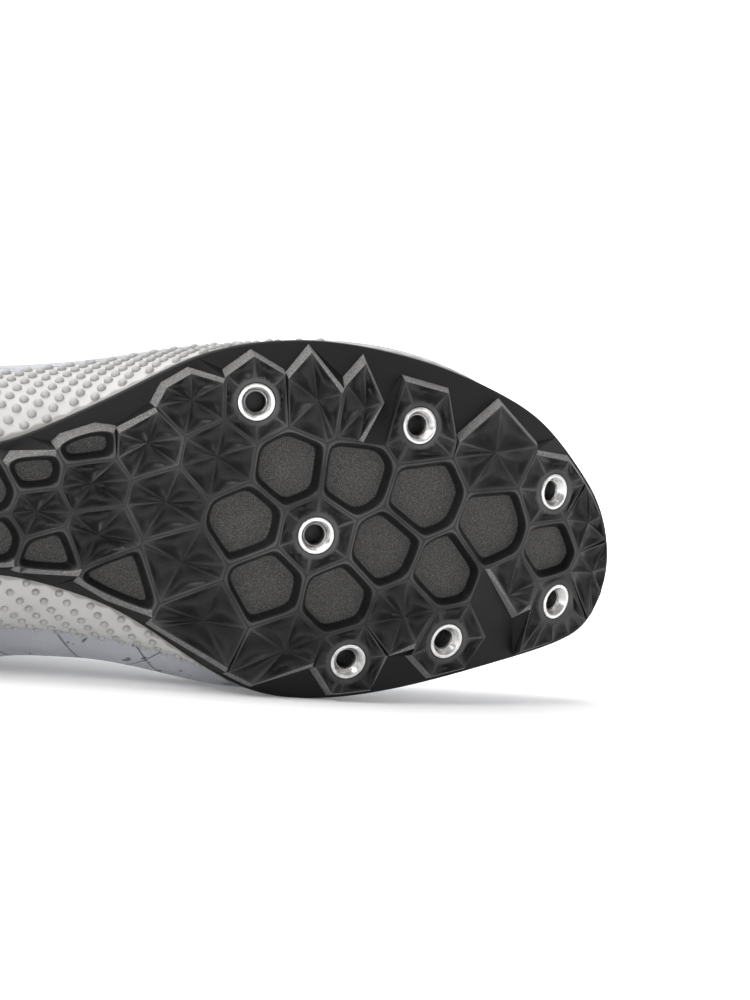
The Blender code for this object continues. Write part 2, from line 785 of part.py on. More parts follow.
def foot_bed(k, share, inset, lift):
    """A point of the dished foot bed, on the line between two points of the inner feather line."""
    lateral = feather(station(k), inset)
    medial = feather(station(AROUND - k), inset)
    point = lateral.lerp(medial, share)
    rim = (lateral if share < 0.5 else medial).z - GAP
    foam = FOAM_CURVE(station(k))[0]
    low = tip_height(point.x) + PLATE + GAP + foam
    point.z = low + (rim - low) * abs(2 * share - 1) ** BED_DISH + lift
    return point


def make_midsole(collection):
    """Foam with a side that slopes out from the plate to the feather line."""
    bm = bmesh.new()
    rings = []
    for slope in SIDE_SLOPE:
        ring = []
        for k in range(AROUND):
            low = plate_edge(k, PLATE + GAP)
            high = feather(station(k), 0, -GAP)
            point = low.lerp(high, slope.out)
            point.z = low.z + (high.z - low.z) * slope.up
            ring.append(bm.verts.new(point))
        rings.append(ring)
    land = WALL + INSOLE_MARGIN
    rings.append([bm.verts.new(feather(station(k), land, -GAP)) for k in range(AROUND)])
    for first, second in zip(rings, rings[1:]):
        join_rings(bm, first, second)
    deck(bm, rings[0], lambda k, c: across_sole(k, c, PLATE + GAP))
    deck(bm, rings[-1], lambda k, c: foot_bed(k, c, land, 0))
    return finish_mesh(bm, "midsole", collection)


def insole_rim(k, inset, lift):
    """A point of the insole's edge, a little in from the rim of the foot bed."""
    if k % HALF == 0:
        tip = feather(station(k), inset, lift - GAP)
        beside = foot_bed(1 if k == 0 else HALF - 1, 0.5, inset, lift)
        return tip.lerp(beside, 0.3)
    lateral = k < HALF
    side = k if lateral else AROUND - k
    rim = foot_bed(side, 0 if lateral else 1, inset, lift)
    inner = foot_bed(side, 1 / ACROSS if lateral else 1 - 1 / ACROSS, inset, lift)
    return rim.lerp(inner, 0.1)


def make_insole(collection):
    """A sheet on the foot bed, with the same rows and columns as the bed."""
    bm = bmesh.new()
    inset = WALL + INSOLE_MARGIN
    sheets = []
    for lift in (GAP, GAP + INSOLE_THICK):
        rim = [bm.verts.new(insole_rim(k, inset, lift)) for k in range(AROUND)]
        deck(bm, rim, lambda k, c: foot_bed(k, c, inset, lift))
        sheets.append(rim)
    join_rings(bm, *sheets)
    return finish_mesh(bm, "insole", collection)


def upper_shares(u):
    """Rows of the upper: even ones up to the eyestay, a close pair at its edge, and two on it."""
    below = share_below_edge(u, EYESTAY_WIDTH + EYESTAY_STEP)
    eyestay = [share_below_edge(u, EYESTAY_WIDTH), share_below_edge(u, TONGUE_LAP), 1.0]
    return [below * i / UPPER_ROWS for i in range(UPPER_ROWS + 1)] + eyestay


def make_upper(collection):
    """A hollow shell from the feather line to the collar and throat, thicker at the eyestay."""
    bm = bmesh.new()
    columns = []
    for k in range(AROUND):
        u = station(k)
        columns.append([bm.verts.new(wall_point(u, v)) for v in upper_shares(u)])
    rows = len(columns[0])
    for i in range(AROUND):
        first, second = columns[i], columns[(i + 1) % AROUND]
        for j in range(rows - 1):
            bm.faces.new((first[j], first[j + 1], second[j + 1], second[j]))
    upper = finish_mesh(bm, "upper", collection, close=False)
    group = upper.vertex_groups.new(name="eyestay")
    for k in range(AROUND):
        if min(k, AROUND - k) <= EYESTAY_END * AROUND / (2 * LAST):
            group.add([k * rows + row for row in range(UPPER_ROWS + 1, rows)], 1.0, "REPLACE")
    solidify = upper.modifiers.new("wall", "SOLIDIFY")
    solidify.thickness = WALL + EYESTAY_STEP
    solidify.offset = 1
    solidify.use_even_offset = False
    solidify.vertex_group = "eyestay"
    solidify.thickness_vertex_group = WALL / (WALL + EYESTAY_STEP)
    return upper


def eyelet_station(row):
    return EYELET_FIRST + (EYELET_LAST - EYELET_FIRST) * row / (EYELET_ROWS - 1)


def make_eyelet_cutter(collection):
    """Pins through the eyestay, one for each eyelet."""
    bm = bmesh.new()
    length = (WALL + EYESTAY_STEP) * 4
    for row in range(EYELET_ROWS):
        for u in (eyelet_station(row), 2 * LAST - eyelet_station(row)):
            v = share_below_edge(u, EYELET_INSET)
            turn = wall_normal(u, v).to_track_quat("Z", "Y").to_matrix().to_4x4()
            place = Matrix.Translation(wall_point(u, v)) @ turn
            bmesh.ops.create_cone(bm, cap_ends=True, segments=EYELET_SIDES, radius1=EYELET_RADIUS,
                                  radius2=EYELET_RADIUS, depth=length, matrix=place)
    return finish_mesh(bm, "eyelet_pins", collection)


def make_tongue(collection):
    """A padded sheet that lies under the eyestay, wraps the front of the throat and rises at the instep."""
    bm = bmesh.new()
    last_row = int(EYESTAY_END * AROUND / (2 * LAST))
    rows = []
    for k in range(last_row + 1):
        sides = []
        for u in (station(k), station(AROUND - k)):
            shares = (share_below_edge(u, TONGUE_LAP), 1.0)
            sides.append([wall_point(u, v) - wall_normal(u, v) * GAP * 1.5 for v in shares])
        lateral, medial = sides
        across = [lateral[1].lerp(medial[1], share) for share in (0.25, 0.5, 0.75)]
        rows.append(lateral + across + medial[::-1])
    tucked = rows[-1]
    middle = tucked[len(tucked) // 2]
    for step in range(1, TONGUE_STEPS + 1):
        share = step / TONGUE_STEPS
        rise = Vector((-math.cos(TONGUE_TILT), 0, math.sin(TONGUE_TILT))) * TONGUE_RISE * share
        narrow = 1 - TONGUE_NARROWING * math.sqrt(share)
        rows.append([middle + (point - middle) * narrow + rise for point in tucked])
    verts = [[bm.verts.new(point) for point in row] for row in rows[1:]]
    front = [bm.verts.new(point) for point in rows[0][:2]]
    verts.insert(0, front + [front[1]] * 3 + front[::-1])
    for first, second in zip(verts, verts[1:]):
        for j in range(len(first) - 1):
            face_between(bm, (first[j], first[j + 1], second[j + 1], second[j]))
    tongue = finish_mesh(bm, "tongue", collection, close=False)
    solidify = tongue.modifiers.new("padding", "SOLIDIFY")
    solidify.thickness = TONGUE_THICK
    solidify.offset = -1
    solidify.use_even_offset = False
    return tongue


def make_lace_bar(number, collection):
    """A flat bar of the lace from eyelet to eyelet, over the eyestay and the tongue."""
    lateral_u = eyelet_station(number - 1)
    medial_u = 2 * LAST - lateral_u
    clear = WALL + EYESTAY_STEP + GAP * 2
    sides = []
    for u in (lateral_u, medial_u):
        points = []
        for share in BAR_POINTS:
            v = share_below_edge(u, EYELET_INSET * share)
            points.append(wall_point(u, v) + wall_normal(u, v) * clear)
        sides.append(points)
    lateral, medial = sides
    path = lateral[:]
    for share in (0.25, 0.5, 0.75):
        point = lateral[-1].lerp(medial[-1], share)
        point.z += LACE_ARCH * 4 * share * (1 - share)
        path.append(point)
    path += medial[::-1]
    beside = 0.2
    back = Vector(EDGE_LOOP(lateral_u + beside)) - Vector(EDGE_LOOP(lateral_u - beside))
    back += Vector(EDGE_LOOP(medial_u - beside)) - Vector(EDGE_LOOP(medial_u + beside))
    width = back.normalized() * LACE_WIDTH / 2
    bm = bmesh.new()
    pairs = [(bm.verts.new(point + width), bm.verts.new(point - width)) for point in path]
    for first, second in zip(pairs, pairs[1:]):
        bm.faces.new((first[1], second[1], second[0], first[0]))
    bar = finish_mesh(bm, f"lace_bar_{number}", collection, close=False)
    solidify = bar.modifiers.new("thickness", "SOLIDIFY")
    solidify.thickness = LACE_THICK
    solidify.offset = 1
    return bar


def material(name, colour, roughness, metallic=0.0):
    """A plain Principled material."""
    made = bpy.data.materials.new(name)
    made.use_nodes = True
    shader = made.node_tree.nodes["Principled BSDF"]
    shader.inputs["Base Color"].default_value = (*colour, 1)
    shader.inputs["Roughness"].default_value = roughness
    shader.inputs["Metallic"].default_value = metallic
    return made


def evaluated_points(thing, depsgraph):
    """Corners and triangles of a piece as its modifiers leave it, in the shoe's frame."""
    mesh = bpy.data.meshes.new_from_object(thing.evaluated_get(depsgraph))
    mesh.calc_loop_triangles()
    points = np.array([thing.matrix_world @ vertex.co for vertex in mesh.vertices])
    triangles = np.array([tuple(triangle.vertices) for triangle in mesh.loop_triangles])
    bpy.data.meshes.remove(mesh)
    return points, triangles


def balance_point(shapes):
    """The shoe's centre of mass."""
    total = 0.0
    moment = np.zeros(3)
    for name, (points, triangles) in shapes.items():
        kind = "metal" if name.startswith("spike_socket") else "lace" if name.startswith("lace") else name
        a, b, c = (points[triangles[:, i]] for i in range(3))
        volumes = np.einsum("ij,ij->i", a, np.cross(b, c)) / 6 * DENSITY[kind]
        total += volumes.sum()
        moment += (volumes[:, None] * (a + b + c) / 4).sum(axis=0)
    return Vector(moment / total)


def lying_matrix(shapes):
    """Turn the shoe from its last onto the facet of its hull that it rests on, medial side down."""
    bm = bmesh.new()
    for points, _ in shapes.values():
        for point in points:
            bm.verts.new(point)
    hull = bmesh.ops.convex_hull(bm, input=bm.verts[:], use_existing_faces=False)
    facets = [item for item in hull["geom"] if isinstance(item, bmesh.types.BMFace)]
    for facet in facets:
        facet.normal_update()
    centre = balance_point(shapes)
    middle = sum((facet.calc_center_median() for facet in facets), Vector()) / len(facets)
    planes = []
    for facet in facets:
        normal = facet.normal.copy()
        if normal.dot(facet.verts[0].co - middle) < 0:
            normal.negate()
        planes.append((normal, normal.dot(facet.verts[0].co - centre)))
    bm.free()
    down = Vector((0, 1, 0))
    for _ in range(40):
        below = [plane for plane in planes if plane[0].dot(down) > 0.01]
        landed = min(below, key=lambda plane: plane[1] / plane[0].dot(down))[0]
        if (landed - down).length < 1e-6:
            break
        down = landed
    up = -down
    right = (Vector((1, 0, 0)) - up * up.x).normalized()
    back = up.cross(right)
    turn = Matrix((right, back, up))
    corners = np.vstack([points for points, _ in shapes.values()]) @ np.array(turn).T
    low, high = corners.min(axis=0), corners.max(axis=0)
    shift = Vector((-(low[0] + high[0]) / 2, -(low[1] + high[1]) / 2, -low[2]))
    return Matrix.Translation(shift) @ turn.to_4x4()


def clear_scene():
    for thing in list(bpy.data.objects):
        bpy.data.objects.remove(thing, do_unlink=True)


def new_collection(name):
    collection = bpy.data.collections.new(name)
    bpy.context.scene.collection.children.link(collection)
    return collection


def main():
    clear_scene()
    shoe = new_collection("track_spike_shoe")
    cutters = new_collection("cutters")
    plate = make_plate(shoe)
    midsole = make_midsole(shoe)
    for number, cutter in enumerate(make_socket_cutters(cutters), 1):
        cut(plate, cutter, f"seat_{number}")
        cut(midsole, cutter, f"pocket_{number}")
    sockets = make_sockets(shoe)
    upper = make_upper(shoe)
    cut(upper, make_eyelet_cutter(cutters), "eyelets")
    tongue = make_tongue(shoe)
    insole = make_insole(shoe)
    bars = [make_lace_bar(number, shoe) for number in range(1, EYELET_ROWS + 1)]

    looks = {
        "plate_black": ([plate], material("plate_black", (0.020, 0.021, 0.024), 0.35)),
        "socket_steel": (sockets, material("socket_steel", (0.75, 0.74, 0.72), 0.25, 1.0)),
        "foam_white": ([midsole], material("foam_white", (0.78, 0.78, 0.77), 0.60)),
        "upper_silver": ([upper], material("upper_silver", (0.56, 0.60, 0.66), 0.55)),
        "tongue_grey": ([tongue], material("tongue_grey", (0.30, 0.32, 0.36), 0.80)),
        "insole_black": ([insole], material("insole_black", (0.03, 0.03, 0.035), 0.90)),
        "lace_black": (bars, material("lace_black", (0.02, 0.02, 0.02), 0.80)),
    }
    for things, look in looks.values():
        for thing in things:
            thing.data.materials.append(look)

    bpy.context.view_layer.update()
    depsgraph = bpy.context.evaluated_depsgraph_get()
    pieces = [plate, midsole, upper, tongue, insole] + sockets + bars
    shapes = {piece.name: evaluated_points(piece, depsgraph) for piece in pieces}
    stand = bpy.data.objects.new("last_frame", None)
    shoe.objects.link(stand)
    stand.matrix_world = lying_matrix(shapes)
    for thing in pieces + list(cutters.objects):
        thing.parent = stand


main()
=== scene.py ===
"""Track spike shoe for the right foot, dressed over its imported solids.

Each piece is shaped standing in the shoe's own frame, x from heel to toe, y towards the medial side, z up,
and is then laid on its side with the solids."""

import functools
import math
from collections import namedtuple

import bpy
import numpy as np
from mathutils import Matrix, Vector
from mathutils.geometry import delaunay_2d_cdt


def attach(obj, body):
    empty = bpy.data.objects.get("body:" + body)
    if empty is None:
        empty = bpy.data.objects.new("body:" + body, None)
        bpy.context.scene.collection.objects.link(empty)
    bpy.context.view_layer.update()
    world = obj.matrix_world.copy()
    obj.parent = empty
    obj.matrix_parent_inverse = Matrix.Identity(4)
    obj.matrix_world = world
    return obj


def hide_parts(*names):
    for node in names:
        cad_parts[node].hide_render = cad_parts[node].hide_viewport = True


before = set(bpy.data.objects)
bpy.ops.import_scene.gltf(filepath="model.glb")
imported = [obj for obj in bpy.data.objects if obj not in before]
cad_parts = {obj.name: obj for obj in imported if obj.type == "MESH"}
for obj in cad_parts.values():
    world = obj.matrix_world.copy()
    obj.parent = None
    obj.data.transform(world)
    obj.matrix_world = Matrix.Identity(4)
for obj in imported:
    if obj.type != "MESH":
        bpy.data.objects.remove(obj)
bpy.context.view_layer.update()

# The shoe's own frame as it lies, as in the source of the solids
LYING = Matrix((
    (0.998167, 0.060446, -0.003132, -0.147073),
    (0.0, 0.051742, 0.998661, -0.048969),
    (0.060527, -0.99683, 0.051647, 0.037264),
    (0.0, 0.0, 0.0, 1.0),
))

# The camera in the shoe's own frame: its place, where it looks and the picture's right
EYE = Vector((-0.015983, -0.118672, -0.769726))
LOOK = Vector((0.28125, 0.13917, 0.94949))
PICTURE_RIGHT = Vector((0.95953, -0.05528, -0.27613))
LENS = 110.0
SENSOR = 36.0

# Driving dimensions in metres
LENGTH = 0.2925
BALL_WIDTH = 0.098
INSTEP_HEIGHT = 0.082
HEEL_HEIGHT = 0.076
SIDE_HEIGHT = 0.0155
TOE_RADIUS = 0.168
ARCH_LIFT = 0.0069
CROWN_LATERAL = 0.0033
CROWN_MEDIAL = 0.0060
GAP = 0.0003

# Spike plate
SLAB = 0.0018
TREAD = 0.0035
RIDGE = 0.0009
OUTER_DRAFT = 0.0013
PAD_DEPTH = 0.0035
PAD_WALL = 0.0012
EDGE_RIM = 0.0007
HEEL_PITCH = 0.0190

# Spike sockets
FLANGE_RADIUS = 0.0050
FLANGE_THICK = 0.0010
MOUTH_RADIUS = 0.0040
MOUTH_DEPTH = 0.0018
BORE_RADIUS = 0.0029
BORE_DEPTH = 0.0060
BODY_RADIUS = 0.0042
BODY_LENGTH = 0.0068
BEVEL = 0.0002
SEAT_DEPTH = 0.0005
SEAT_RIM = 0.0010

# Upper, tongue, insole and lace
WALL = 0.0018
EYESTAY_STEP = 0.0006
EYESTAY_WIDTH = 0.0150
EYELET_INSET = 0.0080
EYELET_RADIUS = 0.0021
EYELET_ROWS = 6
TONGUE_THICK = 0.0025
TONGUE_LAP = 0.0100
TONGUE_RISE = 0.0240
TONGUE_TILT = math.radians(42)
TONGUE_NARROWING = 0.40
INSOLE_THICK = 0.0030
INSOLE_MARGIN = 0.0014
BED_DISH = 3
LACE_WIDTH = 0.0060
LACE_THICK = 0.0012
LACE_ARCH = 0.0015

# Numbers of the ribs at which the eyestay ends and the first and last eyelets lie
EYESTAY_END = 12.3
EYELET_FIRST = 4.2
EYELET_LAST = 11.6

# Seeds around a cell that can bound it
NEIGHBOURS = 14
# Where the sole is level at the ball, as a share of LENGTH
BALL_SPOT = 0.666
# Half width at which the crown reaches its full height
CROWN_HALF = BALL_WIDTH * 0.49

# Mesh steps: points around the outline of the tread's plan and around every other piece, rows and columns
AROUND = 72
FINE = 288
BACK_COLUMNS = 16
SIDE_ROWS = 10
CLOTH_ROWS = 22
FILM_ROWS = 6
FILL_STEP = 0.0009
FILL_CLEAR = 0.0010
DECK_COLUMNS = 12
LAND_LOW, LAND_HIGH = 0.030, 0.033
BED_AROUND = 144
BED_COLUMNS = 10
SEAT_SIDES = 48
TONGUE_STEPS = 14
STITCH_STEPS = 900

# Relief of the tread: rings down a pad's wall with their shares of its depth, the plate's rim and its painted
# highlight, the hubs, the dishes and the lines along which the ridges are worn and painted lighter as a
# highlight
PAD_RINGS = (0.0, 0.10, 0.26, 0.86, 1.0)
PAD_FALLS = (0.0, 0.035, 0.17, 0.95, 1.0)
PAD_SIDE = PAD_WALL * 1.5
PAD_ROUND = 0.0007
PAD_SIDES = 60
RIM_RINGS = (0.0, 0.00025)
RIM_ROUND = 0.00025
RIM_SWELL = 0.00012
RIM_HIGHLIGHT = 0.7
WORN_HIGHLIGHT_WIDTH = 0.0003
SEAT_EASE = 0.0022
SPOKE_SHORTEST = 0.0008
SHORTEST_EDGE = 0.0004
HUB_RADIUS = 0.0003
STAR_DEPTH = 0.0026
DISH_FULL = 0.0070
DISH_SLOPE = 0.50

# Nubs of the midsole's side
NUB_PITCH = 0.0057
NUB_ROWS = 13
NUB_RADIUS = 0.0013
NUB_HEIGHT = 0.0011
NUB_TOP = 0.0016
NUB_MEDIAL = 0.82
NUB_FOOT = 0.0013
FLOOR_CLEAR = 0.0003

# Where on its way up the tongue's end begins to round
TONGUE_TIP = 0.68
# The collar's binding, and the pins that cut the eyelets
BINDING_THICK = 0.0016
BINDING_DROP = 0.0020
PIN_LENGTH = 0.010

# Points of a lace bar on each side: shares of EYELET_INSET, heights over the inner face, shares of the width
LACE_POINTS = (
    (1.06, -0.0010, 0.45),
    (1.03, 0.0012, 0.45),
    (0.95, 0.0030, 0.60),
    (0.72, 0.0034, 0.95),
    (0.35, 0.0034, 1.00),
    (0.00, 0.0033, 1.00),
)

# Stitches: how far below the opening's edge each row runs, and from which rib to which
STITCH_LENGTH = 0.0021
STITCH_PITCH = 0.0029
STITCH_THICK = 0.00024
STITCH_ROWS = (
    (0.0168, -12.0, 12.0),
    (0.0186, -12.0, 12.0),
    (0.0042, 12.8, 23.2),
)

# Lift of the tread behind the ball: shares of LENGTH and ARCH_LIFT
Lift = namedtuple("Lift", "along height")
ARCH = [Lift(*row) for row in (
    (0.000, 0.87), (0.050, 0.35), (0.120, 0.09), (0.200, 0.23), (0.297, 0.72), (0.397, 1.00), (0.496, 0.75),
    (0.585, 0.22), (BALL_SPOT, 0.00),
)]

# Sections of the sole from toe to heel. Along is a share of LENGTH, the plate's edges and the flares out
# to the feather line are shares of BALL_WIDTH, the heights of its sides and foam are shares of SIDE_HEIGHT.
Section = namedtuple(
    "Section", "along lateral medial flare_lateral flare_medial side_lateral side_medial foam")
SECTIONS = [Section(*row) for row in (
    (1.000, 0.175, 0.175, -0.015, -0.015, 0.22, 0.22, 0.30),
    (0.985, 0.010, 0.318, -0.020, -0.018, 0.20, 0.20, 0.30),
    (0.955, -0.112, 0.378, -0.025, -0.020, 0.18, 0.18, 0.30),
    (0.910, -0.245, 0.408, -0.022, -0.020, 0.16, 0.16, 0.30),
    (0.860, -0.334, 0.435, -0.004, -0.022, 0.16, 0.16, 0.30),
    (0.800, -0.406, 0.470, 0.007, -0.022, 0.16, 0.16, 0.30),
    (0.740, -0.453, 0.499, 0.006, -0.022, 0.17, 0.16, 0.30),
    (0.680, -0.478, 0.510, -0.006, -0.022, 0.22, 0.17, 0.30),
    (0.620, -0.472, 0.478, -0.014, -0.018, 0.48, 0.25, 0.33),
    (0.560, -0.426, 0.378, 0.004, 0.030, 1.05, 0.48, 0.38),
    (0.500, -0.333, 0.268, 0.053, 0.105, 1.55, 0.75, 0.48),
    (0.440, -0.243, 0.203, 0.114, 0.150, 1.68, 0.92, 0.57),
    (0.390, -0.184, 0.174, 0.150, 0.180, 1.62, 1.00, 0.62),
    (0.330, -0.156, 0.190, 0.152, 0.150, 1.48, 1.02, 0.66),
    (0.260, -0.160, 0.280, 0.122, 0.080, 1.30, 1.00, 0.72),
    (0.180, -0.187, 0.372, 0.080, 0.026, 1.14, 0.96, 0.76),
    (0.100, -0.204, 0.404, 0.057, 0.002, 1.04, 0.95, 0.78),
    (0.045, -0.144, 0.330, 0.050, 0.004, 1.03, 1.00, 0.80),
    (0.018, 0.082, 0.082, 0.045, 0.045, 1.03, 1.03, 0.80),
)]

# Ribs of the upper, one for each section: the opening's edge along as a share of LENGTH, across as shares
# of BALL_WIDTH, its height as a share of INSTEP_HEIGHT or HEEL_HEIGHT, the lean of the wall at the foot and
# its slope down at the edge in degrees, and the pull of the rib's handles as shares of its chord.
Rib = namedtuple("Rib", "along lateral medial height lean_lateral lean_medial slope pull_foot pull_edge")
THROAT_RIBS = [Rib(*row) for row in (
    (0.705, 0.030, 0.030, 0.660, 8, 8, 14, 0.22, 0.34),
    (0.704, 0.000, 0.060, 0.662, 8, 8, 16, 0.24, 0.33),
    (0.700, -0.035, 0.095, 0.668, 8, 8, 20, 0.27, 0.32),
    (0.692, -0.068, 0.128, 0.675, 8, 8, 26, 0.30, 0.31),
    (0.678, -0.094, 0.154, 0.688, 8, 8, 31, 0.32, 0.30),
    (0.656, -0.107, 0.167, 0.710, 8, 8, 35, 0.33, 0.30),
    (0.628, -0.115, 0.173, 0.740, 7, 12, 38, 0.34, 0.30),
    (0.596, -0.122, 0.178, 0.775, 5, 24, 42, 0.36, 0.31),
    (0.562, -0.131, 0.183, 0.815, 2, 44, 45, 0.38, 0.35),
    (0.526, -0.142, 0.188, 0.860, 0, 62, 48, 0.40, 0.42),
    (0.488, -0.158, 0.194, 0.910, 2, 74, 50, 0.42, 0.47),
    (0.450, -0.178, 0.202, 0.955, 6, 80, 55, 0.44, 0.50),
    (0.412, -0.203, 0.217, 1.000, 9, 78, 61, 0.44, 0.50),
)]
COLLAR_RIBS = [Rib(*row) for row in (
    (0.358, -0.250, 0.270, 1.003, 11, 64, 70, 0.40, 0.44),
    (0.285, -0.272, 0.323, 0.885, 10, 30, 80, 0.37, 0.38),
    (0.200, -0.255, 0.345, 0.825, 8, 2, 86, 0.34, 0.32),
    (0.118, -0.205, 0.315, 0.863, 3, -4, 84, 0.33, 0.30),
    (0.060, -0.098, 0.212, 0.944, 2, -2, 84, 0.33, 0.30),
    (0.036, 0.058, 0.058, 0.998, 0, 0, 84, 0.33, 0.30),
)]

# The midsole's side from the plate up to the feather line: shares of the way out and of the way up
Slope = namedtuple("Slope", "out up")
SIDE_SLOPE = [Slope(*row) for row in (
    (0.00, 0.00), (0.45, 0.22), (0.80, 0.55), (1.00, 1.00),
)]
# Cells of the tread from waist to toe: shares of LENGTH and BALL_WIDTH, and what the cell holds
Cell = namedtuple("Cell", "along across kind")
CELLS = [Cell(*row) for row in (
    (0.380, -0.056, "pad"), (0.384, 0.067, "pad"), (0.415, -0.116, "pad"), (0.420, -0.006, "star"),
    (0.432, 0.111, "pad"), (0.462, -0.197, "pad"), (0.468, -0.084, "star"), (0.475, 0.055, "star"),
    (0.494, 0.184, "pad"), (0.516, -0.196, "star"), (0.534, -0.040, "star"), (0.551, 0.121, "star"),
    (0.554, -0.315, "star"), (0.574, 0.281, "star"), (0.578, -0.166, "star"),
    (0.612, -0.316, "socket"), (0.605, 0.009, "pad"), (0.629, 0.181, "pad"), (0.645, -0.143, "pad"),
    (0.651, 0.362, "star"), (0.668, -0.326, "star"), (0.672, 0.041, "socket"),
    (0.696, 0.213, "pad"), (0.706, -0.124, "pad"), (0.713, -0.307, "star"),
    (0.713, 0.397, "socket"), (0.739, 0.080, "pad"), (0.763, 0.271, "star"),
    (0.768, -0.260, "socket"), (0.775, -0.063, "pad"), (0.801, 0.148, "pad"),
    (0.811, 0.348, "socket"), (0.848, -0.184, "star"), (0.850, 0.027, "pad"),
    (0.873, 0.223, "star"), (0.919, -0.064, "socket"), (0.923, 0.102, "pad"),
    (0.932, 0.257, "socket"), (0.963, 0.032, "star"), (0.974, 0.181, "star"),
)]

# Corners of the stepped edge of the tread, in runs: shares of LENGTH and BALL_WIDTH
Corner = namedtuple("Corner", "along across")
LATERAL_STEPS = [Corner(*row) for row in (
    (0.386, -0.132), (0.396, -0.162), (0.426, -0.169), (0.440, -0.210), (0.471, -0.242),
    (0.491, -0.236), (0.516, -0.281), (0.528, -0.354), (0.552, -0.399), (0.576, -0.381),
    (0.608, -0.453), (0.640, -0.401), (0.661, -0.472), (0.689, -0.370), (0.713, -0.449),
    (0.735, -0.318), (0.752, -0.394), (0.799, -0.359), (0.809, -0.231), (0.853, -0.330),
    (0.908, -0.178), (0.946, -0.155), (0.969, -0.045),
)]
BALL_STEPS = [Corner(*row) for row in (
    (0.630, 0.470), (0.677, 0.415), (0.698, 0.500),
)]
MIDDLE_STEPS = [Corner(*row) for row in (
    (0.740, 0.503), (0.752, 0.395), (0.767, 0.376), (0.799, 0.466),
)]
FRONT_STEPS = [Corner(*row) for row in (
    (0.837, 0.440), (0.855, 0.355), (0.885, 0.299), (0.906, 0.379),
)]
PLATE = TREAD + SLAB
LAST = len(SECTIONS) - 1
LOOP = 2 * LAST
FINE_LOOP = [LOOP * k / FINE for k in range(FINE)]
RIBS = [rib._replace(height=rib.height * INSTEP_HEIGHT) for rib in THROAT_RIBS]
RIBS += [rib._replace(height=rib.height * HEEL_HEIGHT) for rib in COLLAR_RIBS]


def cubic_through(xs, ys):
    """A smooth curve through a few points, unbent at its first end and level at its last."""
    count = len(xs)
    steps = np.diff(xs)
    rises = np.diff(ys) / steps
    system = np.eye(count)
    pull = np.zeros(count)
    for i in range(1, count - 1):
        system[i, i - 1:i + 2] = steps[i - 1], 2 * (steps[i - 1] + steps[i]), steps[i]
        pull[i] = 6 * (rises[i] - rises[i - 1])
    system[-1, -2:] = steps[-1], 2 * steps[-1]
    pull[-1] = -6 * rises[-1]
    bends = np.linalg.solve(system, pull)

    def curve(x):
        i = min(max(int(np.searchsorted(xs, x)) - 1, 0), count - 2)
        before, after, step = xs[i + 1] - x, x - xs[i], steps[i]
        bent = (bends[i] * before ** 3 + bends[i + 1] * after ** 3) / (6 * step)
        first = (ys[i] / step - bends[i] * step / 6) * before
        second = (ys[i + 1] / step - bends[i + 1] * step / 6) * after
        return bent + first + second
    return curve


def closed_cubic(rows):
    """A smooth closed curve through rows of values, one row at each whole number."""
    rows = np.array(rows)
    count = len(rows)
    one = np.eye(count)
    system = 4 * one + np.roll(one, 1, axis=0) + np.roll(one, -1, axis=0)
    pull = 6 * (np.roll(rows, -1, axis=0) - 2 * rows + np.roll(rows, 1, axis=0))
    bends = np.linalg.solve(system, pull)

    def curve(u):
        i = int(math.floor(u)) % count
        j = (i + 1) % count
        b = u - math.floor(u)
        a = 1 - b
        return a * rows[i] + b * rows[j] + ((a ** 3 - a) * bends[i] + (b ** 3 - b) * bends[j]) / 6
    return curve


def around(lateral, medial):
    """Rows of a loop: down the lateral side from toe to heel, and back up the medial side."""
    return list(lateral) + list(medial)[-2:0:-1]


ARCH_CURVE = cubic_through([row.along * LENGTH for row in ARCH], [row.height * ARCH_LIFT for row in ARCH])
PLATE_LOOP = closed_cubic(around(
    [(s.along * LENGTH, s.lateral * BALL_WIDTH) for s in SECTIONS],
    [(s.along * LENGTH, s.medial * BALL_WIDTH) for s in SECTIONS]))
SIDE_LOOP = closed_cubic(around(
    [(s.flare_lateral * BALL_WIDTH, s.side_lateral * SIDE_HEIGHT) for s in SECTIONS],
    [(s.flare_medial * BALL_WIDTH, s.side_medial * SIDE_HEIGHT) for s in SECTIONS]))
FOAM_CURVE = closed_cubic(around(
    [(s.foam * SIDE_HEIGHT,) for s in SECTIONS],
    [(s.foam * SIDE_HEIGHT,) for s in SECTIONS]))
EDGE_LOOP = closed_cubic(around(
    [(r.along * LENGTH, r.lateral * BALL_WIDTH, r.height) for r in RIBS],
    [(r.along * LENGTH, r.medial * BALL_WIDTH, r.height) for r in RIBS]))
HANDLE_LOOP = closed_cubic(around(
    [(math.radians(r.lean_lateral), math.radians(r.slope), r.pull_foot, r.pull_edge) for r in RIBS],
    [(math.radians(r.lean_medial), math.radians(r.slope), r.pull_foot, r.pull_edge) for r in RIBS]))
SIDE_OUT = cubic_through(range(len(SIDE_SLOPE)), [s.out for s in SIDE_SLOPE])


def tip_height(x):
    """Height of the ridge tips along the shoe: the arch behind the ball, a round toe spring ahead."""
    ball = BALL_SPOT * LENGTH
    if x <= ball:
        return float(ARCH_CURVE(max(x, 0.0)))
    run = min(x - ball, TOE_RADIUS)
    return TOE_RADIUS - math.sqrt(TOE_RADIUS ** 2 - run ** 2)


def on_sole(x, y, depth):
    """A point of the sole, this far up from the ridge tips."""
    crown = (CROWN_MEDIAL if y > 0 else CROWN_LATERAL) * (y / CROWN_HALF) ** 2
    return Vector((x, y, tip_height(x) + crown + depth))


def sole_normal(x, y):
    """Unit normal of the sole at a point, out of the shoe."""
    step = 0.0005
    along = on_sole(x + step, y, 0) - on_sole(x - step, y, 0)
    across = on_sole(x, y + step, 0) - on_sole(x, y - step, 0)
    return -along.cross(across).normalized()


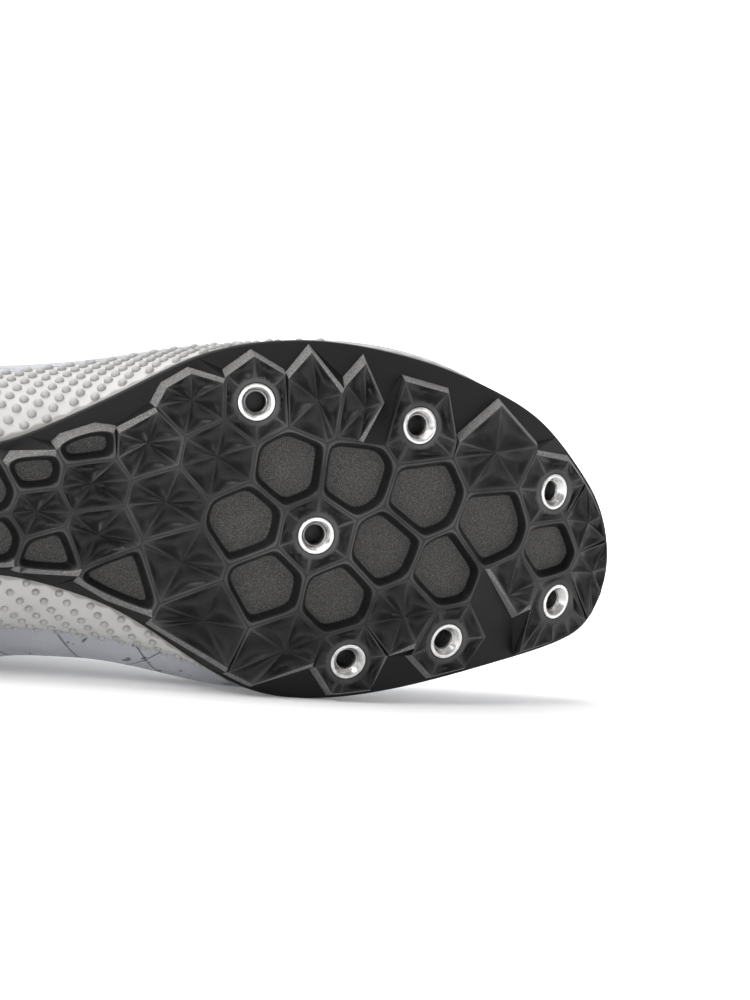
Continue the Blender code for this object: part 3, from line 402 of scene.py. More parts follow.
def loop_normal(loop, u):
    """Unit normal of a loop in plan, out of the shoe."""
    step = 0.02
    ahead = loop(u + step)[:2] - loop(u - step)[:2]
    return Vector((-ahead[1], ahead[0], 0)).normalized()


def feather(u, inset, lift=0.0):
    """A point of the feather line, where the upper stands on the midsole."""
    x, y = PLATE_LOOP(u)
    flare, side = SIDE_LOOP(u)
    base = on_sole(x, y, PLATE + GAP + side + lift)
    return base + loop_normal(PLATE_LOOP, u) * (flare - inset)


@functools.lru_cache(maxsize=None)
def wall_handles(u):
    """Foot, handles and edge of a rib of the upper's inner face."""
    lean, slope, pull_foot, pull_edge = HANDLE_LOOP(u)
    foot = feather(u, WALL, WALL * math.sin(lean))
    edge = Vector(EDGE_LOOP(u))
    chord = (edge - foot).length
    out_foot = loop_normal(PLATE_LOOP, u)
    out_edge = loop_normal(EDGE_LOOP, u)
    rise = Vector((0, 0, 1))
    first = foot + (out_foot * math.sin(lean) + rise * math.cos(lean)) * chord * pull_foot
    second = edge + (out_edge * math.cos(slope) - rise * math.sin(slope)) * chord * pull_edge
    return foot, first, second, edge


def wall_point(u, v):
    """Inner face of the upper: v runs from the foot of the wall to the edge of the opening."""
    foot, first, second, edge = wall_handles(u)
    w = 1 - v
    return foot * w ** 3 + first * 3 * w * w * v + second * 3 * w * v * v + edge * v ** 3


def wall_normal(u, v):
    """Unit normal of the upper, out of the shoe."""
    beside = 0.05
    above = 0.01
    along = wall_point(u + beside, v) - wall_point(u - beside, v)
    up = wall_point(u, min(v + above, 1)) - wall_point(u, v - above)
    return up.cross(along).normalized()


def share_below_edge(u, distance):
    """The wall's v value at this distance below the edge of the opening."""
    tried = 0.25
    chord = (wall_point(u, 1) - wall_point(u, 1 - tried)).length
    return 1 - tried * distance / chord


def clip(polygon, line):
    """The part of a convex polygon behind a line, given as its normal and its distance."""
    nx, ny, reach = line
    kept = []
    for i, (ax, ay) in enumerate(polygon):
        bx, by = polygon[(i + 1) % len(polygon)]
        a = nx * ax + ny * ay - reach
        b = nx * bx + ny * by - reach
        if a <= 0:
            kept.append((ax, ay))
        if (a < 0 < b) or (b < 0 < a):
            share = a / (a - b)
            kept.append((ax + (bx - ax) * share, ay + (by - ay) * share))
    return kept


def plan_line(start, end, inside):
    """The line through two points in plan, with its normal away from a point inside."""
    normal = Vector((start[1] - end[1], end[0] - start[0])).normalized()
    reach = normal.x * start[0] + normal.y * start[1]
    if normal.x * inside[0] + normal.y * inside[1] > reach:
        return -normal.x, -normal.y, -reach
    return normal.x, normal.y, reach


def nearest(seeds, point, count):
    """Numbers of the seeds that lie nearest to a point."""
    order = sorted(range(len(seeds)), key=lambda i: math.dist(seeds[i][:2], point))
    return order[:count]


def inside_loop(x, y, points):
    """Whether a point in plan lies within a closed line."""
    inside = False
    for (ax, ay), (bx, by) in zip(points, points[1:] + points[:1]):
        if (ay > y) != (by > y) and x < ax + (bx - ax) * (y - ay) / (by - ay):
            inside = not inside
    return inside


def outline_points(inset, count=AROUND):
    """The plate's outline in plan, moved in."""
    points = []
    for k in range(count):
        u = LOOP * k / count
        normal = loop_normal(PLATE_LOOP, u)
        x, y = PLATE_LOOP(u)
        points.append((x - normal.x * inset, y - normal.y * inset))
    return points


def passes_through(lines, start, end):
    """Whether the stretch between two points in plan runs through the cell within these lines."""
    first = 0.0
    last = 1.0
    for (nx, ny, reach), _ in lines:
        a = nx * start[0] + ny * start[1] - reach
        b = nx * end[0] + ny * end[1] - reach
        if a > 0 and b > 0:
            return False
        if a > 0:
            first = max(first, a / (a - b))
        if b > 0:
            last = min(last, a / (a - b))
    return last > first


def tread_seeds():
    """Centres of the tread's cells, with plain pads laid by rows under the hidden heel."""
    seeds = [(c.along * LENGTH, c.across * BALL_WIDTH, c.kind) for c in CELLS]
    limit = outline_points(HEEL_PITCH * 0.25)
    row = 1
    x = CELLS[0].along * LENGTH - HEEL_PITCH
    while x > 0:
        shift = 0 if row % 2 else HEEL_PITCH * 0.5
        for step in range(-3, 4):
            y = step * HEEL_PITCH + shift
            if inside_loop(x, y, limit):
                seeds.append((x, y, "pad"))
        row += 1
        x -= HEEL_PITCH * 0.9
    return seeds


def tread_cells():
    """Each cell as its seed and the lines around it, with how far its ridge stands in from each line."""
    seeds = tread_seeds()
    lines = [[] for _ in seeds]
    for i, (x, y, _) in enumerate(seeds):
        for j in nearest(seeds, (x, y), NEIGHBOURS)[1:]:
            ox, oy = seeds[j][:2]
            normal = Vector((ox - x, oy - y)).normalized()
            reach = normal.x * (x + ox) / 2 + normal.y * (y + oy) / 2
            lines[i].append(((normal.x, normal.y, reach), RIDGE / 2))
    between = [list(own) for own in lines]
    rim = outline_points(EDGE_RIM)
    for start, end in zip(rim, rim[1:] + rim[:1]):
        middle = ((start[0] + end[0]) / 2, (start[1] + end[1]) / 2)
        beside = nearest(seeds, middle, 2)
        for i, own in enumerate(between):
            if i in beside or passes_through(own, start, end):
                lines[i].append((plan_line(start, end, seeds[i]), OUTER_DRAFT))
    for run in (LATERAL_STEPS, BALL_STEPS, MIDDLE_STEPS, FRONT_STEPS):
        corners = [(c.along * LENGTH, c.across * BALL_WIDTH) for c in run]
        for start, end in zip(corners, corners[1:]):
            middle = ((start[0] + end[0]) / 2, (start[1] + end[1]) / 2)
            i = nearest(seeds, middle, 1)[0]
            lines[i].append((plan_line(start, end, seeds[i]), OUTER_DRAFT))
    return list(zip(seeds, lines))


def cell_polygon(seed, lines, inset):
    """The cell's outline, with each line moved in by its own inset where asked."""
    reach = BALL_WIDTH
    polygon = [(seed[0] - reach, seed[1] - reach), (seed[0] + reach, seed[1] - reach),
               (seed[0] + reach, seed[1] + reach), (seed[0] - reach, seed[1] + reach)]
    for (nx, ny, distance), own in lines:
        polygon = clip(polygon, (nx, ny, distance - (own if inset else 0)))
    return drop_short_edges(polygon)


def drop_short_edges(polygon):
    kept = []
    for point in polygon:
        if not kept or math.dist(point, kept[-1]) > SHORTEST_EDGE:
            kept.append(point)
    if len(kept) > 1 and math.dist(kept[0], kept[-1]) <= SHORTEST_EDGE:
        kept.pop()
    return kept if len(kept) > 2 else []


def socket_matrix(seed):
    """Frame at a socket's seat: z points out of the sole."""
    normal = sole_normal(seed[0], seed[1])
    along = Vector((1, 0, 0))
    across = normal.cross(along).normalized()
    along = across.cross(normal)
    place = on_sole(seed[0], seed[1], SEAT_DEPTH)
    columns = Matrix((along, across, normal)).transposed().to_4x4()
    return Matrix.Translation(place) @ columns


def socket_seeds():
    return [seed for seed in tread_seeds() if seed[2] == "socket"]


def sole_across(u, share, depth):
    """A point of the sole on the line from the plate's lateral edge to its medial edge."""
    lateral = PLATE_LOOP(u)
    medial = PLATE_LOOP(LOOP - u)
    x, y = lateral * (1 - share) + medial * share
    return on_sole(x, y, depth)


def foot_bed(u, share, inset, lift):
    """A point of the dished foot bed, on the line between two points of the inner feather line."""
    lateral = feather(u, inset)
    medial = feather(LOOP - u, inset)
    point = lateral.lerp(medial, share)
    rim = (lateral if share < 0.5 else medial).z - GAP
    foam = FOAM_CURVE(u)[0]
    low = tip_height(point.x) + PLATE + GAP + foam
    point.z = low + (rim - low) * abs(2 * share - 1) ** BED_DISH + lift
    return point

def eyelet_station(row):
    return EYELET_FIRST + (EYELET_LAST - EYELET_FIRST) * row / (EYELET_ROWS - 1)


def wire_maths(operation, swapped=False):
    """An operator between wires, as a Math node."""
    def operator(self, other):
        first, second = (other, self) if swapped else (self, other)
        return self.finish.add("ShaderNodeMath", {"operation": operation}, {0: first, 1: second})
    return operator


class Wire:
    """A shader socket that sums and products can be written with."""

    def __init__(self, finish, socket):
        self.finish = finish
        self.socket = socket

    __add__ = wire_maths("ADD")
    __radd__ = wire_maths("ADD", True)
    __sub__ = wire_maths("SUBTRACT")
    __rsub__ = wire_maths("SUBTRACT", True)
    __mul__ = wire_maths("MULTIPLY")
    __rmul__ = wire_maths("MULTIPLY", True)
    below = wire_maths("LESS_THAN")
    above = wire_maths("GREATER_THAN")
    greater = wire_maths("MAXIMUM")

    def alone(self, operation):
        return self.finish.add("ShaderNodeMath", {"operation": operation}, {0: self})

    def ramp(self, start, end):
        """From 0 at the start to 1 at the end, and no further."""
        values = {"Value": self, "From Min": start, "From Max": end}
        return self.finish.add("ShaderNodeMapRange", {"clamp": True}, values)


class Finish:
    """A material as its nodes are wired."""

    def __init__(self, name, **settings):
        self.material = bpy.data.materials.new(name)
        self.material.use_nodes = True
        self.tree = self.material.node_tree
        self.shader = self.tree.nodes["Principled BSDF"]
        for socket, value in settings.items():
            self.shader.inputs[socket.replace("_", " ")].default_value = value

    def add(self, kind, settings, values, output=0):
        """A node with its settings made first, and then its sockets' values or links."""
        node = self.tree.nodes.new(kind)
        for setting, value in settings.items():
            setattr(node, setting, value)
        for socket, value in values.items():
            if isinstance(value, Wire):
                self.tree.links.new(value.socket, node.inputs[socket])
            else:
                node.inputs[socket].default_value = value
        return Wire(self, node.outputs[output])

    def place(self):
        return self.add("ShaderNodeTexCoord", {}, {}, "Object")

    def uv(self):
        """The cloth's own coordinates in metres."""
        return self.add("ShaderNodeUVMap", {"uv_map": "cloth"}, {})

    def turned_uv(self, degrees):
        values = {"Vector": self.uv(), "Rotation": (0, 0, math.radians(degrees))}
        return self.add("ShaderNodeMapping", {}, values)

    def axis(self, vector, number):
        return self.add("ShaderNodeSeparateXYZ", {}, {0: vector}, number)

    def noise(self, vector, scale, detail=2.0, roughness=0.5):
        values = {"Vector": vector, "Scale": scale, "Detail": detail, "Roughness": roughness}
        return self.add("ShaderNodeTexNoise", {}, values)

    def cells(self, vector, scale):
        return self.add("ShaderNodeTexVoronoi", {}, {"Vector": vector, "Scale": scale})

    def mix(self, share, first, second):
        """One colour into another."""
        return self.add("ShaderNodeMix", {"data_type": "RGBA"}, {0: share, 6: first, 7: second}, 2)

    def clouded(self, scale, dark, light, detail=3):
        """Soft clouds, and a colour that drifts with them."""
        cloud = self.noise(self.place(), scale, detail)
        return cloud, self.mix(cloud.ramp(0.3, 0.7), dark, light)

    def waves(self, value, pitch):
        """A sine along a value in metres, from 0 to 1."""
        return (value * (2 * math.pi / pitch)).alone("SINE") * 0.5 + 0.5

    def weave(self, pitch, depth):
        """Threads of a plain weave on the cloth's own coordinates, and their bump."""
        warp, weft = (self.waves(self.axis(self.uv(), number), pitch) for number in (0, 1))
        threads = warp * weft + (1 - warp) * (1 - weft)
        return threads, self.bump(threads, depth, 0.8)

    def bump(self, height, distance, strength, under=None):
        values = {"Height": height, "Distance": distance, "Strength": strength}
        if under is not None:
            values["Normal"] = under
        return self.add("ShaderNodeBump", {}, values)

    def done(self, **wires):
        """The material, with what varies over it wired to its shader."""
        for socket, wire in wires.items():
            self.tree.links.new(wire.socket, self.shader.inputs[socket.replace("_", " ")])
        return self.material


def grey(value, warmth=0.0):
    return (value * (1 + warmth), value, value * (1 - warmth), 1)


def moulded_black():
    """The plate: satin ridges with worn edges that also carry a painted highlight, speckled pads and steps, a
    smooth margin.
    """
    look = Finish("moulded_black", Roughness=0.40, Specular_IOR_Level=0.20)
    marks = look.add("ShaderNodeVertexColor", {"layer_name": "finish"}, {})
    margin = look.add("ShaderNodeVertexColor", {"layer_name": "finish"}, {}, 1)
    pad, edge, step = (look.add("ShaderNodeSeparateColor", {}, {0: marks}, channel) for channel in range(3))
    place = look.place()
    cloud = look.noise(place, 60, 3)
    speck = look.noise(place, 3400, 1).ramp(0.44, 0.66)
    body = look.mix(speck * 0.6 + cloud.ramp(0.3, 0.7) * 0.4, grey(0.0045), grey(0.016))
    floor = look.mix(speck, grey(0.034, 0.03), grey(0.082, 0.03))
    chalk = look.mix(speck, grey(0.095, 0.02), grey(0.210, 0.02))
    # Worn edges, painted lighter also as a highlight on the ridges, spokes, seats and rim
    worn_and_highlit = look.mix(edge * cloud.ramp(0.25, 0.6) * 0.7, body, grey(0.085))
    stepped = look.mix(step, look.mix(pad, worn_and_highlit, floor), chalk)
    rough = 0.38 + pad * 0.40 + step * 0.42 + edge * 0.10 + margin * 0.12 + (cloud - 0.5) * 0.16
    coarse = look.noise(place, 2600, 3, 0.6) * (0.15 + pad * 0.85 + step * 0.85)
    return look.done(Base_Color=look.mix(margin, stepped, grey(0.0035)), Roughness=rough,
                     Normal=look.bump(coarse, 0.00016, 0.8))


def turned_steel():
    """The inserts: bright metal with the fine rings of the lathe, and painted shade down the bore."""
    look = Finish("turned_steel", Metallic=1.0)
    down = look.axis(look.uv(), 1)
    lathe = {"W": down, "Scale": 5200, "Detail": 2}
    rings = look.add("ShaderNodeTexNoise", {"noise_dimensions": "1D"}, lathe)
    smear = look.noise(look.place(), 420, 3)
    bright = look.mix(smear.ramp(0.35, 0.7), grey(0.48, 0.012), grey(0.70, 0.012))
    # Painted shade down the bore: darker and rougher metal further in
    bore = down.ramp(MOUTH_RADIUS + 0.0009, MOUTH_RADIUS + 0.0016)
    return look.done(Base_Color=look.mix(bore, bright, grey(0.035)),
                     Roughness=0.17 + rings * 0.14 + smear * 0.10 + bore * 0.25,
                     Normal=look.bump(rings, 0.00005, 0.7))


def foam_side():
    """The midsole: pale foam with a scalloped taupe band along the plate."""
    look = Finish("foam_side", Roughness=0.62, Specular_IOR_Level=0.35)
    cloud, pale = look.clouded(90, grey(0.400, 0.012), grey(0.450, 0.012))
    scallop = look.waves(look.axis(look.uv(), 0), NUB_PITCH)
    inside = (look.axis(look.uv(), 1) - 0.0008 - scallop * 0.0007).ramp(0.0003, -0.0003)
    return look.done(Base_Color=look.mix(inside * 0.8, pale, (0.205, 0.194, 0.178, 1)),
                     Roughness=0.55 + cloud * 0.18,
                     Normal=look.bump(look.noise(look.place(), 3800), 0.00012, 0.55))


def foam_nub():
    """The nubs: the same foam, a shade greyer than the side."""
    look = Finish("foam_nub", Roughness=0.5, Specular_IOR_Level=0.4)
    cloud, greyer_foam = look.clouded(140, grey(0.290, 0.01), grey(0.350, 0.01), 2)
    return look.done(Base_Color=greyer_foam, Roughness=0.44 + cloud * 0.16,
                     Normal=look.bump(look.noise(look.place(), 3800), 0.00010, 0.5))


def fine_textile():
    """The upper's cloth: silver with a weave, slanting hair lines and specks that thicken near them."""
    look = Finish("fine_textile", Sheen_Weight=0.25, Sheen_Roughness=0.4, Specular_IOR_Level=0.35)
    slant, slant_pitch = 52, 0.0140
    cross, cross_pitch, cross_shift = -20, 0.0460, 0.0138
    wander = look.noise(look.uv(), 14, 1) * 0.0050

    def hair_lines(value, pitch):
        dull, full = (1 - (half * math.pi / pitch) ** 2 for half in (0.00026, 0.00011))
        return look.waves(value, pitch).ramp(dull, full)

    threads, cloth = look.weave(0.00075, 0.00014)
    cloud, base = look.clouded(24, (0.300, 0.308, 0.342, 1), (0.372, 0.380, 0.415, 1))
    thread = look.mix(threads * 0.30, base, (0.54, 0.55, 0.59, 1))
    ink = (0.040, 0.042, 0.054, 1)
    slanting = look.axis(look.turned_uv(slant), 0) + wander
    crossing = look.axis(look.turned_uv(cross), 0) + wander + cross_shift
    lines = hair_lines(slanting, slant_pitch).greater(hair_lines(crossing, cross_pitch))
    broken = look.noise(look.uv(), 150, 1).ramp(0.36, 0.44)
    drawn = look.mix(lines * broken * 0.85, thread, ink)
    near = look.waves(slanting, slant_pitch).ramp(0.80, 1.0)
    crowd = look.noise(look.uv(), 34).ramp(0.42, 0.64)
    small = look.cells(look.uv(), 520).below(0.24) * near * crowd.above(0.30)
    large = look.cells(look.turned_uv(41), 260).below(0.30) * crowd.above(0.66)
    specks = ((small + large) * look.noise(look.uv(), 300, 0).above(0.50)).ramp(0.0, 1.0)
    return look.done(Base_Color=look.mix(specks * 0.8, drawn, ink),
                     Roughness=0.52 + cloud * 0.12 + threads * 0.08, Normal=cloth)


def eyestay_film():
    """The eyestay: a thin welded film, smoother and a shade darker than the cloth."""
    look = Finish("eyestay_film", Specular_IOR_Level=0.45)
    cloud, film = look.clouded(70, (0.300, 0.315, 0.345, 1), (0.360, 0.375, 0.405, 1))
    cloth = look.weave(0.00075, 0.00005)[1]
    return look.done(Base_Color=film, Roughness=0.36 + cloud * 0.12,
                     Normal=look.bump(look.noise(look.place(), 900), 0.00005, 0.5, cloth))


def brushed_lining(name, dark, light):
    """Soft knitted lining and padding."""
    look = Finish(name, Sheen_Weight=0.12, Sheen_Roughness=0.5, Specular_IOR_Level=0.2)
    threads, knit = look.weave(0.0012, 0.00022)
    base = look.clouded(45, dark, light)[1]
    fuzz = look.noise(look.place(), 2400)
    lit = tuple(min(1, channel * 1.7) for channel in light[:3]) + (1,)
    return look.done(Base_Color=look.mix(threads * 0.30, base, lit), Roughness=0.80 + fuzz * 0.15,
                     Normal=look.bump(fuzz, 0.00006, 0.6, knit))


def bed_cloth():
    """The insole's black top cloth."""
    look = Finish("bed_cloth", Sheen_Weight=0.2, Specular_IOR_Level=0.2)
    threads, knit = look.weave(0.0009, 0.00012)
    base = look.clouded(50, grey(0.022), grey(0.034))[1]
    return look.done(Base_Color=look.mix(threads * 0.4, base, grey(0.075)),
                     Roughness=0.84 + threads * 0.1, Normal=knit)


def braided_lace():
    """The lace: a flat black braid with its slanting threads."""
    look = Finish("braided_lace", Sheen_Weight=0.08, Specular_IOR_Level=0.2)
    across, along = (look.axis(look.uv(), number) for number in (0, 1))
    braid = look.waves(across + along, 0.0011).greater(look.waves(across - along, 0.0011))
    return look.done(Base_Color=look.mix(braid, grey(0.004), grey(0.050)), Roughness=0.66 + braid * 0.16,
                     Normal=look.bump(braid, 0.00018, 0.9))


def sewing_thread():
    look = Finish("sewing_thread", Roughness=0.55, Sheen_Weight=0.3)
    twist = look.waves(look.axis(look.place(), 0) + look.axis(look.place(), 2), 0.0006)
    return look.done(Base_Color=look.mix(twist, (0.36, 0.37, 0.40, 1), (0.56, 0.58, 0.61, 1)),
                     Normal=look.bump(twist, 0.00005, 0.8))


def studio_white():
    """The floor: white, with a painted glow that is dim under the shoe and full white away from it."""
    look = Finish("studio_white", Roughness=0.9, Specular_IOR_Level=0.1, Emission_Strength=1.0)
    across, back = (look.axis(look.place(), number) for number in (0, 1))
    away = (across * across + back * back).alone("SQRT")
    return look.done(Emission_Color=look.mix(away.ramp(0.16, 0.62), grey(0.12), grey(1.0)),
                     Base_Color=look.mix(look.noise(look.place(), 3), grey(0.90), grey(0.92)))


def clear_selection():
    if bpy.context.mode != "OBJECT":
        bpy.ops.object.mode_set(mode="OBJECT")
    bpy.ops.object.select_all(action="DESELECT")


def take_hold(thing):
    clear_selection()
    thing.select_set(True)
    bpy.context.view_layer.objects.active = thing


def add_thing(name, data):
    thing = bpy.data.objects.new(name, data)
    bpy.context.scene.collection.objects.link(thing)
    return thing


def mesh_piece(name, verts, faces, uvs=None):
    """An object from points and faces; the corners of each face may bring their cloth coordinates."""
    mesh = bpy.data.meshes.new(name)
    mesh.from_pydata([tuple(v) for v in verts], [], faces)
    if uvs is not None:
        layer = mesh.uv_layers.new(name="cloth")
        layer.data.foreach_set("uv", np.array(uvs, dtype=float).ravel())
    mesh.validate()
    return add_thing(name, mesh)


def edit_whole(thing, *steps):
    """Run mesh operators in Edit Mode, each on the whole of a piece."""
    take_hold(thing)
    bpy.ops.object.mode_set(mode="EDIT")
    for operator, settings in steps:
        bpy.ops.mesh.select_all(action="SELECT")
        operator(**settings)
    bpy.ops.object.mode_set(mode="OBJECT")


def weld(distance):
    return bpy.ops.mesh.remove_doubles, {"threshold": distance}


def outwards():
    return bpy.ops.mesh.normals_make_consistent, {"inside": False}


def stretch(*factors):
    return bpy.ops.transform.resize, {"value": factors}


def smooth(thing, degrees):
    take_hold(thing)
    bpy.ops.object.shade_smooth_by_angle(angle=math.radians(degrees))


def apply_modifiers(thing):
    take_hold(thing)
    for modifier in list(thing.modifiers):
        bpy.ops.object.modifier_apply(modifier=modifier.name)


def cut_away(thing, cutter):
    boolean = thing.modifiers.new("pockets", "BOOLEAN")
    boolean.operation = "DIFFERENCE"
    boolean.solver = "EXACT"
    boolean.object = cutter
    apply_modifiers(thing)


def joined(things):
    take_hold(things[0])
    for thing in things[1:]:
        thing.select_set(True)
    bpy.ops.object.join()
    return things[0]


def hand_over(thing, look, slot, *nodes):
    """Lay a finished piece on its side, give it its finish and put it in the place of its nodes."""
    thing.data.transform(LYING)
    if look is not None:
        thing.data.materials.clear()
        thing.data.materials.append(look)
    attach(thing, "root")
    if nodes:
        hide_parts(*nodes)
    return thing


def run_along(points):
    """Metres along a row of points, at each of them."""
    return [0.0] + list(np.cumsum([(b - a).length for a, b in zip(points, points[1:])]))


def loop_lengths():
    """Metres along the feather line at each fine step, once around."""
    return run_along([feather(LOOP * k / FINE, 0) for k in range(FINE + 1)])


def circle(radius, sides, shift=0.0):
    turns = [2 * math.pi * (i + shift) / sides for i in range(sides)]
    return [(radius * math.cos(turn), radius * math.sin(turn)) for turn in turns]


def band(first, second, closed=True):
    """Faces between two rows of points."""
    pairs = list(zip(first, second))
    following = pairs[1:] + pairs[:1] if closed else pairs[1:]
    return [(a, b, d, c) for (a, b), (c, d) in zip(pairs, following)]


def grid_faces(rows, columns, closed=False):
    """Faces of a grid whose points run row by row."""
    lines = [range(i * columns, (i + 1) * columns) for i in range(rows)]
    if closed:
        lines.append(lines[0])
    return [face for first, second in zip(lines, lines[1:]) for face in band(first, second, False)]


def wall_around(columns):
    """Points, faces and cloth coordinates of a wall around the shoe, from its columns at the fine steps."""
    lengths = loop_lengths()
    heights = [run_along(column) for column in columns]
    heights.append(heights[0])
    count = len(columns[0])
    uvs = []
    for i in range(FINE):
        for c in range(count - 1):
            corners = ((i, c), (i + 1, c), (i + 1, c + 1), (i, c + 1))
            uvs += [(lengths[k], heights[k][row]) for k, row in corners]
    verts = [point for column in columns for point in column]
    return verts, grid_faces(FINE, count, True), uvs


def deck(verts, rim, point_at, columns):
    """Fill a rim that runs around the shoe with rows from its lateral to its medial side."""
    rows = []
    for k in range(1, len(rim) // 2):
        start = len(verts)
        verts += [point_at(LOOP * k / len(rim), c / columns) for c in range(1, columns)]
        rows.append([rim[k], *range(start, len(verts)), rim[-k]])
    faces = [face for first, second in zip(rows, rows[1:]) for face in band(first, second, False)]
    for row, tip in ((rows[0], rim[0]), (rows[-1], rim[len(rim) // 2])):
        faces += [(a, b, tip) for a, b in zip(row, row[1:])]
    return faces


def plan_uvs(verts, faces):
    return [(verts[i][0], verts[i][1]) for face in faces for i in face]


class CellShape:
    """One cell of the tread, and the depth and finish of any point in it."""

    def __init__(self, seed, lines):
        self.centre = np.array(seed[:2])
        self.kind = seed[2]
        self.normals = np.array([line[:2] for line, _ in lines])
        self.reaches = np.array([line[2] for line, _ in lines])
        self.insets = np.array([own for _, own in lines])
        self.outline = cell_polygon(seed, lines, False)
        self.corners = np.array(cell_polygon(seed, lines, True)).reshape(-1, 2)
        self.seat = {"pad": 0.0, "star": 0.0, "socket": FLANGE_RADIUS + SEAT_RIM}[self.kind]

    def inward(self, spots):
        return self.reaches - spots @ self.normals.T

    def holds(self, spots):
        return self.inward(spots).min(axis=1) >= -1e-7

    def sharp_inside(self, spots):
        """How far inside its ridges each point lies."""
        return (self.inward(spots) - self.insets).min(axis=1)

    def soft_inside(self, spots):
        """The same, with the corners rounded."""
        reach = self.inward(spots) - self.insets
        least = reach.min(axis=1)
        rest = np.exp((least[:, None] - reach) / PAD_ROUND).sum(axis=1)
        return least - PAD_ROUND * np.log(rest)

    def level_ring(self, level):
        """The closed line that lies this far inside the ridges, found by halving along each ray."""
        middle = self.corners.mean(axis=0)
        if self.soft_inside(middle[None])[0] <= level:
            return []
        ways = np.array(circle(1.0, PAD_SIDES))
        near = np.zeros(PAD_SIDES)
        far = np.full(PAD_SIDES, BALL_WIDTH)
        for _ in range(40):
            half = (near + far) / 2
            beyond = self.soft_inside(middle + ways * half[:, None]) < level
            far = np.where(beyond, half, far)
            near = np.where(beyond, near, half)
        return middle + ways * near[:, None]

    def spokes(self):
        """Lines from the hub or the seat's rim to the corners."""
        for corner in self.corners:
            away = corner - self.centre
            reach = float(np.hypot(*away))
            if reach > self.seat + SPOKE_SHORTEST:
                yield tuple(self.centre + away * self.seat / reach), tuple(corner)

    def outer_wall(self, spots):
        """How far down the tread's outer wall each point lies, from 0 to 1."""
        outer = self.insets == OUTER_DRAFT
        if not outer.any():
            return np.zeros(len(spots))
        return np.clip(1 - self.inward(spots)[:, outer].min(axis=1) / OUTER_DRAFT, 0, 1)

    def dish(self, spots):
        """Hollows between the spokes, and the worn lines along the spokes, painted lighter also as a
        highlight.
        """
        hollow = np.zeros(len(spots))
        edge = np.zeros(len(spots))
        hub = self.seat or HUB_RADIUS
        rest = spots - self.centre
        arms = self.corners - self.centre
        for a, b in zip(arms, np.roll(arms, -1, axis=0)):
            area = a[0] * b[1] - a[1] * b[0]
            if abs(area) < 1e-9:
                continue
            first = (rest[:, 0] * b[1] - rest[:, 1] * b[0]) / area
            second = (a[0] * rest[:, 1] - a[1] * rest[:, 0]) / area
            within = (first >= -1e-6) & (second >= -1e-6) & (first + second > 1e-6)
            out = np.maximum(first + second, 1e-6)
            side = np.clip(second / out, 0, 1)
            reach = np.hypot(*rest.T) / out
            start = np.clip(hub / np.maximum(reach, 1e-6), 0, 0.98)
            run = np.clip((out - start) / (1 - start), 0, 1)
            wide = np.hypot(*(b - a))
            clear = reach * (1 - start)
            size = min(1.0, wide / DISH_FULL) ** 0.6 * np.clip(clear / DISH_FULL, 0, 1) ** 0.6
            across = 1 - np.abs(2 * side - 1) ** 1.8
            down = STAR_DEPTH * size * np.sin(math.pi * run ** 1.25)
            slope = DISH_SLOPE * wide * out * np.clip(run * 8, 0, 1)
            here = across * down * slope / np.maximum(down + slope, 1e-9) * 1.35
            hollow = np.where(within, here, hollow)
            near = np.minimum(side, 1 - side) * wide * out
            line = np.clip(1 - near / WORN_HIGHLIGHT_WIDTH, 0, 1) * (run > 0.02)
            edge = np.where(within, np.maximum(edge, line), edge)
        return hollow, edge

    def relief(self, spots):
        """Depth below the ridge tips, and the shares of pad floor, worn edge with its painted highlight, and
        step.
        """
        is_pad = self.kind == "pad"
        inside = self.soft_inside(spots) if is_pad else self.sharp_inside(spots)
        within = inside > 0
        wall = self.outer_wall(spots)
        pad = np.zeros(len(spots))
        edge = np.clip(1 - np.abs(inside) / WORN_HIGHLIGHT_WIDTH, 0, 1)
        if is_pad:
            share = np.clip(inside / PAD_SIDE, 0, 1)
            hollow = PAD_DEPTH * np.interp(share, PAD_RINGS, PAD_FALLS)
            pad = (share > 0.93).astype(float)
        else:
            hollow, line = self.dish(spots)
            far = np.hypot(*(spots - self.centre).T)
            edge = np.maximum(edge * 0.6, np.where(within & (far >= self.seat), line, 0))
        if self.seat:
            ease = np.clip(1 - (far - self.seat) / SEAT_EASE, 0, 1)
            hollow = np.where(far < self.seat, SEAT_DEPTH, np.maximum(hollow, SEAT_DEPTH * ease))
            edge = np.maximum(edge, np.clip(1 - np.abs(far - self.seat) / WORN_HIGHLIGHT_WIDTH, 0, 1))
        depth = np.maximum(np.where(within, hollow, 0), TREAD * wall)
        step = ((wall > 0.02) & (wall < 0.999)).astype(float)
        return depth, pad * within, edge * (1 - step * 0.6), step


def tread_relief(shapes, spots):
    """Depth and finish of the whole tread; outside its cells lies the plain margin."""
    depth = np.full(len(spots), TREAD)
    finish = np.tile((0.0, 0.0, 0.0, 1.0), (len(spots), 1))
    for shape in shapes:
        near = np.where(shape.holds(spots))[0]
        if len(near) == 0:
            continue
        here, *marks = shape.relief(spots[near])
        upper = here <= depth[near]
        taken = near[upper]
        depth[taken] = here[upper]
        finish[taken] = np.stack([*marks, np.zeros(len(near))], axis=1)[upper]
    return depth, finish


def tread_plan(shapes):
    """Points and creases of the tread in plan: rims, cell outlines, walls, spokes, seats and a fine fill."""
    points = []
    creases = []

    def ring(polygon):
        start = len(points)
        points.extend((float(x), float(y)) for x, y in polygon)
        count = len(polygon)
        creases.extend((start + i, start + (i + 1) % count) for i in range(count))

    for inset in RIM_RINGS:
        ring(outline_points(inset, FINE))
    for shape in shapes:
        ring(shape.outline)
        if shape.kind == "pad":
            for share in PAD_RINGS:
                ring(shape.level_ring(PAD_SIDE * share))
            continue
        ring(shape.corners)
        if shape.seat:
            ring(shape.centre + circle(shape.seat, SEAT_SIDES, 0.5))
        for spoke in shape.spokes():
            points.extend(spoke)
            creases.append((len(points) - 2, len(points) - 1))
    points.extend(map(tuple, fill_spots(shapes)))
    return points, creases


